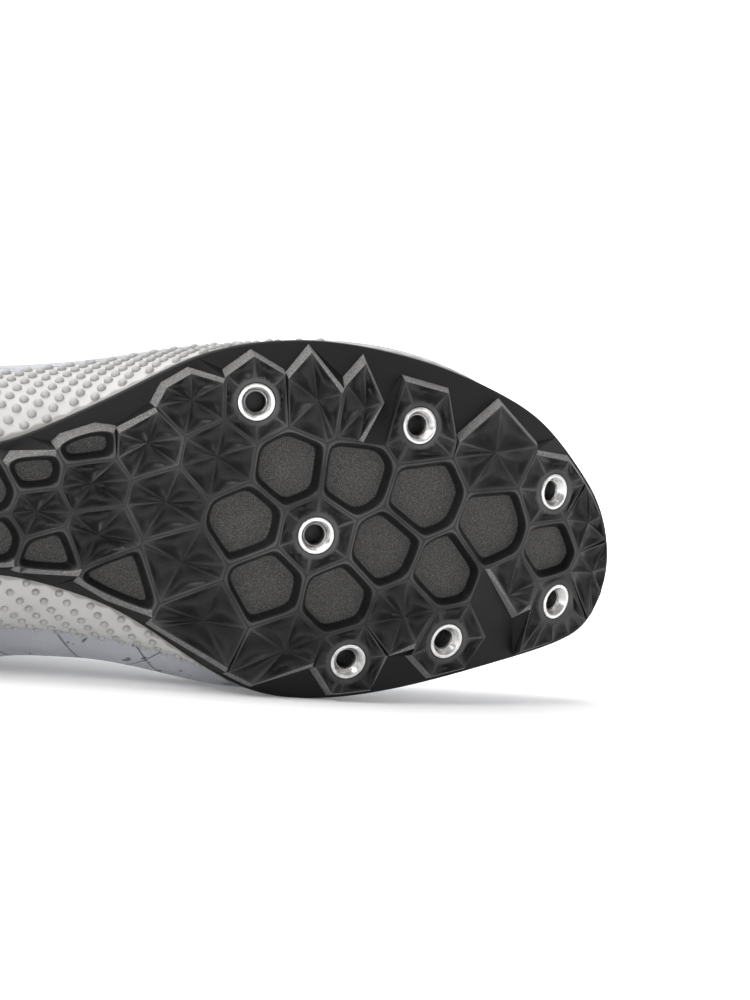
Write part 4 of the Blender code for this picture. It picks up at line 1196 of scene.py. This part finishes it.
def fill_spots(shapes):
    """Loose points that let the dishes curve, clear of the creases."""
    reach = BALL_WIDTH * 0.56
    xs = np.arange(0.0, LENGTH, FILL_STEP)
    ys = np.arange(-reach, reach, FILL_STEP * 0.866)
    grid = np.array([(x + (FILL_STEP / 2 if j % 2 else 0), y) for j, y in enumerate(ys) for x in xs])
    kept = []
    for shape in shapes:
        mine = grid[shape.holds(grid)]
        if len(mine) == 0:
            continue
        inside = shape.sharp_inside(mine)
        if shape.kind == "pad":
            kept.append(mine[inside > PAD_WALL + FILL_CLEAR][::7])
            continue
        clear = inside > FILL_STEP * 0.35
        rest = mine - shape.centre
        for away in shape.corners - shape.centre:
            off = np.abs(rest[:, 0] * away[1] - rest[:, 1] * away[0]) / np.hypot(*away)
            clear &= ~((rest @ away > 0) & (off < FILL_STEP * 0.35))
        if shape.seat:
            clear &= np.hypot(*rest.T) > shape.seat + FILL_STEP * 0.4
        kept.append(mine[clear])
    return np.vstack(kept)


def make_plate(look, cutter):
    """The plate: its relief outside, a rounded rim, a smooth back, and the inserts' pockets."""
    shapes = [shape for shape in (CellShape(*cell) for cell in tread_cells()) if len(shape.corners)]
    points, creases = tread_plan(shapes)
    flat, _, triangles, origins, _, _ = delaunay_2d_cdt([Vector(p) for p in points], creases, [], 1, 1e-6)
    spots = np.array([(p.x, p.y) for p in flat])
    depth, finish = tread_relief(shapes, spots)
    middles = spots[np.array([tuple(t) for t in triangles])].mean(axis=1)
    first_of = {source: i for i, sources in enumerate(origins) for source in sources}
    rim = [first_of[k] for k in range(FINE)]
    depth[rim] = TREAD + RIM_ROUND
    # A painted highlight along the plate's rim
    finish[rim, 1] = RIM_HIGHLIGHT
    verts = [on_sole(x, y, d) for (x, y), d in zip(spots, depth)]
    faces = [tuple(reversed(t)) for t in triangles]
    rings = [rim]
    outline = outline_points(0.0, FINE)
    for height, out in ((TREAD + SLAB * 0.5, RIM_SWELL), (PLATE - RIM_ROUND, 0.0), (PLATE, -RIM_ROUND)):
        rings.append(list(range(len(verts), len(verts) + FINE)))
        verts += [on_sole(x, y, height) + loop_normal(PLATE_LOOP, u) * out
                  for (x, y), u in zip(outline, FINE_LOOP)]
    for first, second in zip(rings, rings[1:]):
        faces += band(first, second)
    faces += deck(verts, rings[-1], lambda u, share: sole_across(u, share, PLATE), BACK_COLUMNS)
    plate = mesh_piece("moulded_plate", verts, faces)

    # Each face has its own finish, but the worn edges and their painted highlight fade from point to point
    own = np.tile((0.0, 0.0, 0.0, 1.0), (len(faces), 1))
    own[:len(triangles)] = tread_relief(shapes, middles)[1]
    edges = np.zeros(len(verts))
    edges[:len(finish)] = finish[:, 1]
    values = np.repeat(own, [polygon.loop_total for polygon in plate.data.polygons], axis=0)
    values[:, 1] = edges[[loop.vertex_index for loop in plate.data.loops]]
    marks = plate.data.attributes.new("finish", "FLOAT_COLOR", "CORNER")
    marks.data.foreach_set("color", values.ravel())

    edit_whole(plate, weld(1e-7), outwards())
    cut_away(plate, cutter)
    smooth(plate, 28)
    return hand_over(plate, look, "plate_black", "spike_plate")


def spun(name, profile, sides):
    """A turned piece: a profile in the x-z plane, spun around z."""
    mesh = bpy.data.meshes.new(name)
    mesh.from_pydata([(x, 0, z) for x, z in profile], [(i, i + 1) for i in range(len(profile) - 1)], [])
    thing = add_thing(name, mesh)
    spin = {"steps": sides, "angle": 2 * math.pi, "center": (0, 0, 0), "axis": (0, 0, 1)}
    edit_whole(thing, (bpy.ops.mesh.spin, spin), weld(1e-6), outwards())
    return thing


def socket_profile():
    """Flange with a rounded rim, a countersunk mouth and a bore with its thread."""
    points = [(0.0, -BORE_DEPTH), (BORE_RADIUS * 0.86, -BORE_DEPTH)]
    turns = 6
    rise = (BORE_DEPTH - MOUTH_DEPTH - 0.0006) / turns
    for i in range(turns):
        low = -BORE_DEPTH + 0.0002 + rise * i
        points += [(BORE_RADIUS * 0.98, low + rise * 0.10), (BORE_RADIUS * 0.90, low + rise * 0.60)]
    points += [
        (BORE_RADIUS, -MOUTH_DEPTH), (BORE_RADIUS + 0.00012, -MOUTH_DEPTH + 0.00006),
        (MOUTH_RADIUS - 0.00010, -0.00016), (MOUTH_RADIUS + 0.00006, -0.00003), (MOUTH_RADIUS + 0.0002, 0.0)]
    rounding = ((1.6, 0.0), (0.6, 0.3), (0.1, 1.0), (0.0, 2.0))
    points += [(FLANGE_RADIUS - BEVEL * x, -BEVEL * z) for x, z in rounding]
    return points + [
        (FLANGE_RADIUS, -FLANGE_THICK), (BODY_RADIUS, -FLANGE_THICK),
        (BODY_RADIUS, -BODY_LENGTH), (0.0, -BODY_LENGTH)]


def make_sockets(look):
    """The seven inserts, each a copy of the first in its own seat."""
    pattern = spun("spike_insert", socket_profile(), 64)
    layer = pattern.data.uv_layers.new(name="cloth")
    for loop in pattern.data.loops:
        x, y, z = pattern.data.vertices[loop.vertex_index].co
        layer.data[loop.index].uv = (math.atan2(y, x) / (2 * math.pi), math.hypot(x, y) - z)
    smooth(pattern, 25)
    for number, seed in enumerate(socket_seeds(), 1):
        socket = add_thing(f"spike_insert_{number}", pattern.data.copy())
        socket.data.transform(socket_matrix(seed))
        hand_over(socket, look, "socket_steel", f"spike_socket_{number}")
    bpy.data.objects.remove(pattern)


def socket_pins():
    """Stepped pins that clear the inserts' pockets."""
    high = PLATE * 2
    wide, shoulder = FLANGE_RADIUS + GAP / 2, -FLANGE_THICK - GAP
    narrow, foot = BODY_RADIUS + GAP, -BODY_LENGTH - GAP
    profile = ((0.0, high), (wide, high), (wide, shoulder), (narrow, shoulder), (narrow, foot), (0.0, foot))
    pins = []
    for seed in socket_seeds():
        pin = spun("pin", profile, 48)
        pin.data.transform(socket_matrix(seed))
        pins.append(pin)
    return joined(pins)


def side_point(u, share):
    """A point of the midsole's side, from the plate at 0 to the feather line at 1."""
    x, y = PLATE_LOOP(u)
    low = on_sole(x, y, PLATE + GAP)
    high = feather(u, 0, -GAP)
    ups = [slope.up for slope in SIDE_SLOPE]
    step = share * (len(ups) - 1)
    point = low.lerp(high, float(SIDE_OUT(step)))
    point.z = low.z + (high.z - low.z) * float(np.interp(step, range(len(ups)), ups))
    return point


def side_normal(u, share):
    beside = 0.02
    along = side_point(u + beside, share) - side_point(u - beside, share)
    up = side_point(u, min(share + beside, 1)) - side_point(u, max(share - beside, 0))
    return up.cross(along).normalized()


def make_midsole(look, cutter):
    """The foam: its side as a fine grid, closed by the land, the dished bed and its flat under the plate."""
    shares = [c / SIDE_ROWS for c in range(SIDE_ROWS + 1)]
    verts, faces, uvs = wall_around([[side_point(u, share) for share in shares] for u in FINE_LOOP])
    foot = list(range(0, len(verts), len(shares)))
    edge = [index + SIDE_ROWS for index in foot]
    inner = list(range(len(verts), len(verts) + FINE))
    land = WALL + INSOLE_MARGIN
    verts += [feather(u, land, -GAP) for u in FINE_LOOP]
    faces += band(edge, inner)
    # The land has a strip of its own in the cloth coordinates, above the side
    lengths = loop_lengths()
    for near, far in zip(lengths, lengths[1:]):
        uvs += [(near, LAND_LOW), (near, LAND_HIGH), (far, LAND_HIGH), (far, LAND_LOW)]
    decks = deck(verts, foot, lambda u, share: sole_across(u, share, PLATE + GAP), DECK_COLUMNS)
    decks += deck(verts, inner, lambda u, share: foot_bed(u, share, land, 0), DECK_COLUMNS)
    midsole = mesh_piece("foam_midsole", verts, faces + decks, uvs + plan_uvs(verts, decks))
    edit_whole(midsole, weld(1e-7), outwards())
    cut_away(midsole, cutter)
    smooth(midsole, 40)
    return hand_over(midsole, look, "foam_white", "midsole")


class Copies:
    """One mesh of many copies of a small form."""

    def __init__(self, form):
        self.points = [vertex.co.copy() for vertex in form.data.vertices]
        self.polygons = [tuple(polygon.vertices) for polygon in form.data.polygons]
        self.verts = []
        self.faces = []
        bpy.data.objects.remove(form)

    def put(self, place, turn):
        start = len(self.verts)
        self.verts += [place + turn @ point for point in self.points]
        self.faces += [tuple(start + i for i in polygon) for polygon in self.polygons]


def nub_places():
    """Where the nubs stand: rows down from the feather line, every other one shifted."""
    lengths = loop_lengths()
    count = int(lengths[-1] / NUB_PITCH)
    shares = np.linspace(0, 1, 13)
    places = []
    for i in range(count):
        for row in range(NUB_ROWS):
            run = (i + (0.5 if row % 2 else 0)) * lengths[-1] / count
            u = float(np.interp(run, lengths, np.arange(FINE + 1))) * LOOP / FINE
            heights = run_along([side_point(u, share) for share in shares])
            up = heights[-1] - NUB_TOP - row * NUB_PITCH * 0.5
            if up > NUB_FOOT:
                places.append((u, float(np.interp(up, heights, shares))))
    return places


def make_nubs(look):
    """Low domes on the foam, clear of the floor."""
    clear_selection()
    bpy.ops.mesh.primitive_uv_sphere_add(segments=12, ring_count=8, radius=NUB_RADIUS)
    dome = bpy.context.object
    level = (0, 0, -NUB_RADIUS * 0.25)
    cut = {"plane_co": level, "plane_no": (0, 0, 1), "clear_inner": True, "use_fill": True}
    edit_whole(dome, (bpy.ops.mesh.bisect, cut), stretch(1, 1, NUB_HEIGHT / NUB_RADIUS))
    domes = Copies(dome)
    for u, share in nub_places():
        normal = side_normal(u, share)
        place = side_point(u, share)
        if (LYING @ (place + normal * NUB_HEIGHT)).z > FLOOR_CLEAR:
            size = NUB_MEDIAL if place.y > 0 else 1.0
            domes.put(place, normal.to_track_quat("Z", "Y").to_matrix() * size)
    nubs = mesh_piece("foam_nubs", domes.verts, domes.faces)
    smooth(nubs, 60)
    return hand_over(nubs, look, "foam_white")


def upper_rows(u):
    """Rows of the upper: even ones up to the eyestay, a close pair at its edge, and more on it."""
    below = share_below_edge(u, EYESTAY_WIDTH + EYESTAY_STEP)
    start = share_below_edge(u, EYESTAY_WIDTH)
    film = [start + (1 - start) * i / FILM_ROWS for i in range(FILM_ROWS + 1)]
    return [below * i / CLOTH_ROWS for i in range(CLOTH_ROWS + 1)] + film


def make_upper(cloth, film, lining):
    """The hollow upper: cloth outside, lining inside, the eyestay as a welded film, and its eyelets."""
    verts, faces, uvs = wall_around([[wall_point(u, v) for v in upper_rows(u)] for u in FINE_LOOP])
    upper = mesh_piece("cloth_upper", verts, faces, uvs)
    columns = len(verts) // FINE
    group = upper.vertex_groups.new(name="eyestay")
    end = EYESTAY_END * FINE / LOOP
    for k in range(FINE):
        if min(k, FINE - k) <= end:
            group.add([k * columns + row for row in range(CLOTH_ROWS + 1, columns)], 1.0, "REPLACE")
    for look in (cloth, film, lining, lining):
        upper.data.materials.append(look)
    for index, polygon in enumerate(upper.data.polygons):
        k, row = divmod(index, columns - 1)
        polygon.material_index = int(row >= CLOTH_ROWS and min(k, FINE - 1 - k) < end)
    if upper.data.polygons[0].normal.dot(wall_normal(0, 0.02)) < 0:
        upper.data.flip_normals()
    solidify = upper.modifiers.new("wall", "SOLIDIFY")
    solidify.thickness = WALL + EYESTAY_STEP
    solidify.offset = 1
    solidify.use_even_offset = False
    solidify.material_offset = 2
    solidify.vertex_group = "eyestay"
    solidify.thickness_vertex_group = WALL / (WALL + EYESTAY_STEP)
    apply_modifiers(upper)
    pins = []
    for spot, turn in eyelets():
        bpy.ops.mesh.primitive_cylinder_add(vertices=24, radius=EYELET_RADIUS, depth=PIN_LENGTH)
        pins.append(bpy.context.object)
        pins[-1].data.transform(Matrix.Translation(spot) @ turn)
    cutter = joined(pins)
    cut_away(upper, cutter)
    bpy.data.objects.remove(cutter)
    smooth(upper, 40)
    return hand_over(upper, None, "upper_silver", "upper")


def eyelets():
    """Each eyelet's spot on the upper's inner face, and the turn that faces it out."""
    for row in range(EYELET_ROWS):
        for u in (eyelet_station(row), LOOP - eyelet_station(row)):
            v = share_below_edge(u, EYELET_INSET)
            yield wall_point(u, v), wall_normal(u, v).to_track_quat("Z", "Y").to_matrix().to_4x4()


def make_eyelet_rims(look):
    """A thin welded ring around each eyelet."""
    rims = []
    for spot, turn in eyelets():
        bpy.ops.mesh.primitive_torus_add(
            major_segments=32, minor_segments=8, major_radius=EYELET_RADIUS + 0.0006, minor_radius=0.00055)
        rim = bpy.context.object
        edit_whole(rim, stretch(1, 1, 0.6))
        rim.data.transform(Matrix.Translation(spot) @ turn @ Matrix.Translation((0, 0, WALL + EYESTAY_STEP)))
        rims.append(rim)
    ring = joined(rims)
    ring.name = "eyelet_rims"
    smooth(ring, 60)
    return hand_over(ring, look, "upper_silver")


def swept(name, path, sections, look, slot, *nodes):
    """A tube through rings of points, one ring at each point of its path."""
    count = len(sections[0])
    runs = run_along(path)
    middle = sections[len(sections) // 2]
    girth = run_along(middle + middle[:1])
    verts = [point for ring in sections for point in ring]
    faces = []
    uvs = []
    for i in range(len(sections) - 1):
        for c in range(count):
            d = (c + 1) % count
            faces.append((i * count + c, i * count + d, (i + 1) * count + d, (i + 1) * count + c))
            uvs += [(girth[x], runs[y]) for x, y in ((c, i), (c + 1, i), (c + 1, i + 1), (c, i + 1))]
    for ring in (0, len(sections) - 1):
        faces.append(tuple(range(ring * count, (ring + 1) * count)))
        uvs += [(girth[c], runs[ring]) for c in range(count)]
    tube = mesh_piece(name, verts, faces, uvs)
    edit_whole(tube, weld(1e-7), outwards())
    smooth(tube, 50)
    return hand_over(tube, look, slot, *nodes)


def make_binding(look):
    """A rolled binding along the collar's edge, thinner towards its ends."""
    first = EYESTAY_END - 0.2
    last = LOOP - first
    path = []
    sections = []
    steps = 150
    for i in range(steps + 1):
        u = first + (last - first) * i / steps
        edge = wall_point(u, 1)
        normal = wall_normal(u, 1)
        down = (wall_point(u, share_below_edge(u, 0.002)) - edge).normalized()
        spot = edge + normal * WALL * 0.5
        grow = min(1.0, 6 * min(i, steps - i) / steps + 0.35)
        path.append(spot)
        sections.append([spot + normal * x * BINDING_THICK * grow + down * (y * BINDING_DROP + 0.0006)
                         for x, y in circle(1.0, 14)])
    return swept("collar_binding", path, sections, look, "tongue_grey")


def tongue_rows():
    """Rows of the tongue's upper face: across the throat, and then tilted up and rounded at its end."""
    rows = []
    for u in FINE_LOOP[2:int(EYESTAY_END * FINE / LOOP) + 1]:
        sides = []
        for side_u in (u, LOOP - u):
            shares = [share_below_edge(side_u, TONGUE_LAP * s) for s in (1.0, 0.66, 0.33)] + [1.0]
            sides.append([wall_point(side_u, v) - wall_normal(side_u, v) * GAP * 1.5 for v in shares])
        lateral, medial = sides
        middle = [lateral[-1].lerp(medial[-1], share / 10) for share in range(1, 10)]
        rows.append(lateral + middle + medial[::-1])
    tucked = rows[-1]
    centre = tucked[len(tucked) // 2]
    for step in range(1, TONGUE_STEPS + 1):
        share = step / TONGUE_STEPS
        rise = Vector((-math.cos(TONGUE_TILT), 0, math.sin(TONGUE_TILT))) * TONGUE_RISE * share
        tip = max(0.0, (share - TONGUE_TIP) / (1 - TONGUE_TIP))
        narrow = (1 - TONGUE_NARROWING * math.sqrt(share)) * math.sqrt(1 - 0.6 * tip ** 3)
        rows.append([centre + (point - centre) * narrow + rise for point in tucked])
    return rows


def make_tongue(look):
    """The padded tongue: under the eyestay, around the front of the throat and up at the instep."""
    outer = tongue_rows()
    rows, columns = len(outer), len(outer[0])
    channels = (columns // 3, columns - 1 - columns // 3)
    top = []
    bottom = []
    for i, row in enumerate(outer):
        before, after = outer[max(i - 1, 0)], outer[min(i + 1, rows - 1)]
        for c, point in enumerate(row):
            normal = (row[min(c + 1, columns - 1)] - row[max(c - 1, 0)]).cross(after[c] - before[c])
            if normal.z < 0:
                normal.negate()
            normal = normal.normalized() if normal.length > 1e-12 else Vector((0, 0, 1))
            swell = math.sin(math.pi * (c + 0.5) / columns) ** 0.5
            end = min(1.0, (rows - 1 - i + 0.4) / 3)
            channel = 0.55 if c in channels and i > 6 else 1.0
            top.append(point + normal * (0.0 if i < rows - TONGUE_STEPS else 0.0004 * swell * channel * end))
            bottom.append(point - normal * TONGUE_THICK * (0.35 + 0.65 * swell * channel) * (0.4 + 0.6 * end))
    count = len(top)
    faces = grid_faces(rows, columns)
    rim = [c for c in range(columns)] + [i * columns + columns - 1 for i in range(1, rows)]
    rim += [count - 1 - c for c in range(1, columns)] + [i * columns for i in range(rows - 2, 0, -1)]
    faces += [tuple(count + i for i in reversed(face)) for face in faces]
    faces += band(rim, [count + i for i in rim])
    places = [divmod(index % count, columns) for face in faces for index in face]
    tongue = mesh_piece("padded_tongue", top + bottom, faces, [(c * 0.0045, i * 0.0022) for i, c in places])
    edit_whole(tongue, weld(1e-7), outwards())
    bevel = tongue.modifiers.new("edge", "BEVEL")
    bevel.width = 0.0009
    bevel.segments = 3
    bevel.angle_limit = math.radians(55)
    apply_modifiers(tongue)
    smooth(tongue, 60)
    hand_over(tongue, look, "tongue_grey", "tongue")
    return tongue


def bed_rim(u, inset, lift):
    """A point of the insole's edge, a little in from the rim of the foot bed."""
    if u in (0, LAST):
        tip = feather(u, inset, lift - GAP)
        beside = foot_bed(u + (0.53 if u == 0 else -0.53), 0.5, inset, lift)
        return tip.lerp(beside, 0.3)
    lateral = u < LAST
    side = u if lateral else LOOP - u
    rim = foot_bed(side, 0 if lateral else 1, inset, lift)
    inner = foot_bed(side, 1 / 6 if lateral else 5 / 6, inset, lift)
    return rim.lerp(inner, 0.1)


def make_insole(look):
    """The insole: a soft-edged foam sheet under its top cloth."""
    inset = WALL + INSOLE_MARGIN
    low, high = GAP, GAP + INSOLE_THICK
    verts = []
    rims = []
    for lift, more in ((low, 0.0004), (low + 0.0005, 0.0), (high - 0.0006, 0.0), (high, 0.0006)):
        rims.append(list(range(len(verts), len(verts) + BED_AROUND)))
        verts += [bed_rim(LOOP * k / BED_AROUND, inset + more, lift) for k in range(BED_AROUND)]
    faces = [face for first, second in zip(rims, rims[1:]) for face in band(first, second)]
    uvs = [(verts[i][0], verts[i][2]) for face in faces for i in face]
    decks = deck(verts, rims[0], lambda u, share: foot_bed(u, share, inset, low), BED_COLUMNS)
    decks += deck(verts, rims[-1], lambda u, share: foot_bed(u, share, inset, high), BED_COLUMNS)
    insole = mesh_piece("cloth_insole", verts, faces + decks, uvs + plan_uvs(verts, decks))
    edit_whole(insole, weld(1e-7), outwards())
    smooth(insole, 50)
    return hand_over(insole, look, "insole_black", "insole")


def lace_path(lateral_u):
    """Points and widths of one bar, from inside through an eyelet, over the tongue and back in."""
    sides = []
    for u in (lateral_u, LOOP - lateral_u):
        points = []
        for share, height, width in LACE_POINTS:
            v = share_below_edge(u, EYELET_INSET * share)
            points.append((wall_point(u, v) + wall_normal(u, v) * height, width))
        sides.append(points)
    lateral, medial = sides
    middle = []
    for share in (0.2, 0.4, 0.6, 0.8):
        point = lateral[-1][0].lerp(medial[-1][0], share)
        point.z += LACE_ARCH * 4 * share * (1 - share)
        middle.append((point, 1.0))
    return lateral + middle + medial[::-1]


def smooth_through(values, places):
    """A smooth curve through values at whole numbers, at these places."""
    result = []
    last = len(values) - 1
    for place in places:
        i = min(int(place), last - 1)
        t = place - i
        p0, p1, p2, p3 = (values[min(max(i + d, 0), last)] for d in (-1, 0, 1, 2))
        result.append(0.5 * (2 * p1 + (p2 - p0) * t + (2 * p0 - 5 * p1 + 4 * p2 - p3) * t * t
                             + (3 * p1 - p0 - 3 * p2 + p3) * t ** 3))
    return result


def make_lace(number, look):
    """One bar of the lace: a flat braid that gathers in its eyelets."""
    lateral_u = eyelet_station(number - 1)
    medial_u = LOOP - lateral_u
    beside = 0.2
    back = Vector(EDGE_LOOP(lateral_u + beside)) - Vector(EDGE_LOOP(lateral_u - beside))
    back += Vector(EDGE_LOOP(medial_u - beside)) - Vector(EDGE_LOOP(medial_u + beside))
    wide = back.normalized() * LACE_WIDTH / 2
    rough = lace_path(lateral_u)
    places = np.linspace(0, len(rough) - 1, 90)
    path = [Vector(p) for p in zip(*(smooth_through([point[axis] for point, _ in rough], places)
                                     for axis in range(3)))]
    broad = np.interp(places, range(len(rough)), [width for _, width in rough])
    sections = []
    for i, point in enumerate(path):
        ahead = path[min(i + 1, len(path) - 1)] - path[max(i - 1, 0)]
        out = wide.cross(ahead).normalized() * LACE_THICK / 2 * (1.5 - 0.5 * broad[i])
        sections.append([point + wide * math.copysign(abs(x) ** 0.6, x) * broad[i] + out * y
                         for x, y in circle(1.0, 16)])
    return swept(f"braided_lace_{number}", path, sections, look, "lace_black", f"lace_bar_{number}")


def make_stitches(look):
    """Two rows of stitches in the cloth beside the eyestay, and one under the collar's binding."""
    clear_selection()
    bpy.ops.mesh.primitive_uv_sphere_add(segments=6, ring_count=4, radius=1.0)
    stitch = bpy.context.object
    edit_whole(stitch, stretch(STITCH_THICK, STITCH_THICK * 0.8, STITCH_LENGTH / 2))
    sewn = Copies(stitch)
    for below, first, last in STITCH_ROWS:
        spots = []
        for i in range(STITCH_STEPS + 1):
            u = (first + (last - first) * i / STITCH_STEPS) % LOOP
            spots.append((u, share_below_edge(u, below)))
        points = [wall_point(u, v) for u, v in spots]
        due = STITCH_PITCH / 2
        for before, point, run, (u, v) in zip(points, points[1:], run_along(points)[1:], spots[1:]):
            if run < due:
                continue
            due += STITCH_PITCH
            normal = wall_normal(u, v)
            ahead = (point - before).normalized()
            turn = Matrix((normal, ahead.cross(normal).normalized(), ahead)).transposed()
            sewn.put(point + normal * (WALL + 0.00005), turn)
    stitches = mesh_piece("seam_stitches", sewn.verts, sewn.faces)
    edit_whole(stitches, outwards())
    smooth(stitches, 70)
    return hand_over(stitches, look, "upper_silver")


def make_floor(look):
    clear_selection()
    bpy.ops.mesh.primitive_plane_add(size=60.0, location=(0, 0, 0))
    floor = bpy.context.object
    floor.name = "studio_floor"
    floor.data.materials.append(look)


def softbox(name, place, aim, size, watts):
    """A rectangular lamp that faces a point of the shoe."""
    lamp = bpy.data.lights.new(name, "AREA")
    lamp.shape = "RECTANGLE"
    lamp.size, lamp.size_y = size
    lamp.energy = watts
    box = add_thing(name, lamp)
    box.location = place
    box.rotation_euler = (Vector(aim) - Vector(place)).to_track_quat("-Z", "Y").to_euler()


def light_studio():
    """A pale room, brighter behind the shoe than before it, with a key lamp at the upper left."""
    world = bpy.data.worlds.new("studio")
    world.use_nodes = True
    bpy.context.scene.world = world
    nodes = world.node_tree.nodes
    links = world.node_tree.links
    background = nodes["Background"]
    background.inputs["Color"].default_value = (1, 1, 1, 1)
    where = nodes.new("ShaderNodeTexCoord")
    split = nodes.new("ShaderNodeSeparateXYZ")
    spread = nodes.new("ShaderNodeMapRange")
    for socket, value in (("From Min", -0.35), ("From Max", 0.25), ("To Min", 0.40), ("To Max", 1.02)):
        spread.inputs[socket].default_value = value
    links.new(where.outputs["Generated"], split.inputs[0])
    links.new(split.outputs["Y"], spread.inputs["Value"])
    links.new(spread.outputs[0], background.inputs["Strength"])
    softbox("key", (-0.85, -0.60, 0.95), (0.0, 0.0, 0.04), (0.40, 0.40), 7.5)
    softbox("fill", (0.95, -0.70, 0.55), (0.05, 0.0, 0.04), (0.5, 0.5), 1.5)
    softbox("low", (-0.10, -1.30, 0.10), (0.0, 0.0, 0.03), (1.6, 0.2), 3.0)
    softbox("top", (-0.60, 0.25, 1.9), (0.0, 0.1, 0.0), (1.7, 1.7), 40)


def set_camera():
    """The photograph's angle to the shoe."""
    data = bpy.data.cameras.new("camera")
    data.lens = LENS
    data.sensor_width = SENSOR
    data.sensor_fit = "AUTO"
    data.clip_start = 0.01
    camera = add_thing("camera", data)
    turn = LYING.to_3x3()
    ahead = (turn @ LOOK).normalized()
    right = turn @ PICTURE_RIGHT
    right = (right - ahead * right.dot(ahead)).normalized()
    up = right.cross(ahead)
    camera.matrix_world = Matrix.Translation(LYING @ EYE) @ Matrix((right, up, -ahead)).transposed().to_4x4()
    bpy.context.scene.camera = camera


def dress_shoe():
    clear_selection()
    pins = socket_pins()
    make_plate(moulded_black(), pins)
    make_midsole(foam_side(), pins)
    bpy.data.objects.remove(pins)
    make_sockets(turned_steel())
    make_nubs(foam_nub())
    lining = brushed_lining("lining", grey(0.045), grey(0.065))
    film = eyestay_film()
    make_upper(fine_textile(), film, lining)
    make_eyelet_rims(film)
    make_binding(lining)
    make_tongue(brushed_lining("tongue_cloth", (0.17, 0.18, 0.20, 1), (0.22, 0.235, 0.26, 1)))
    make_insole(bed_cloth())
    lace = braided_lace()
    for number in range(1, EYELET_ROWS + 1):
        make_lace(number, lace)
    make_stitches(sewing_thread())


set_camera()
dress_shoe()
make_floor(studio_white())
light_studio()
bpy.context.scene.view_settings.view_transform = "Standard"
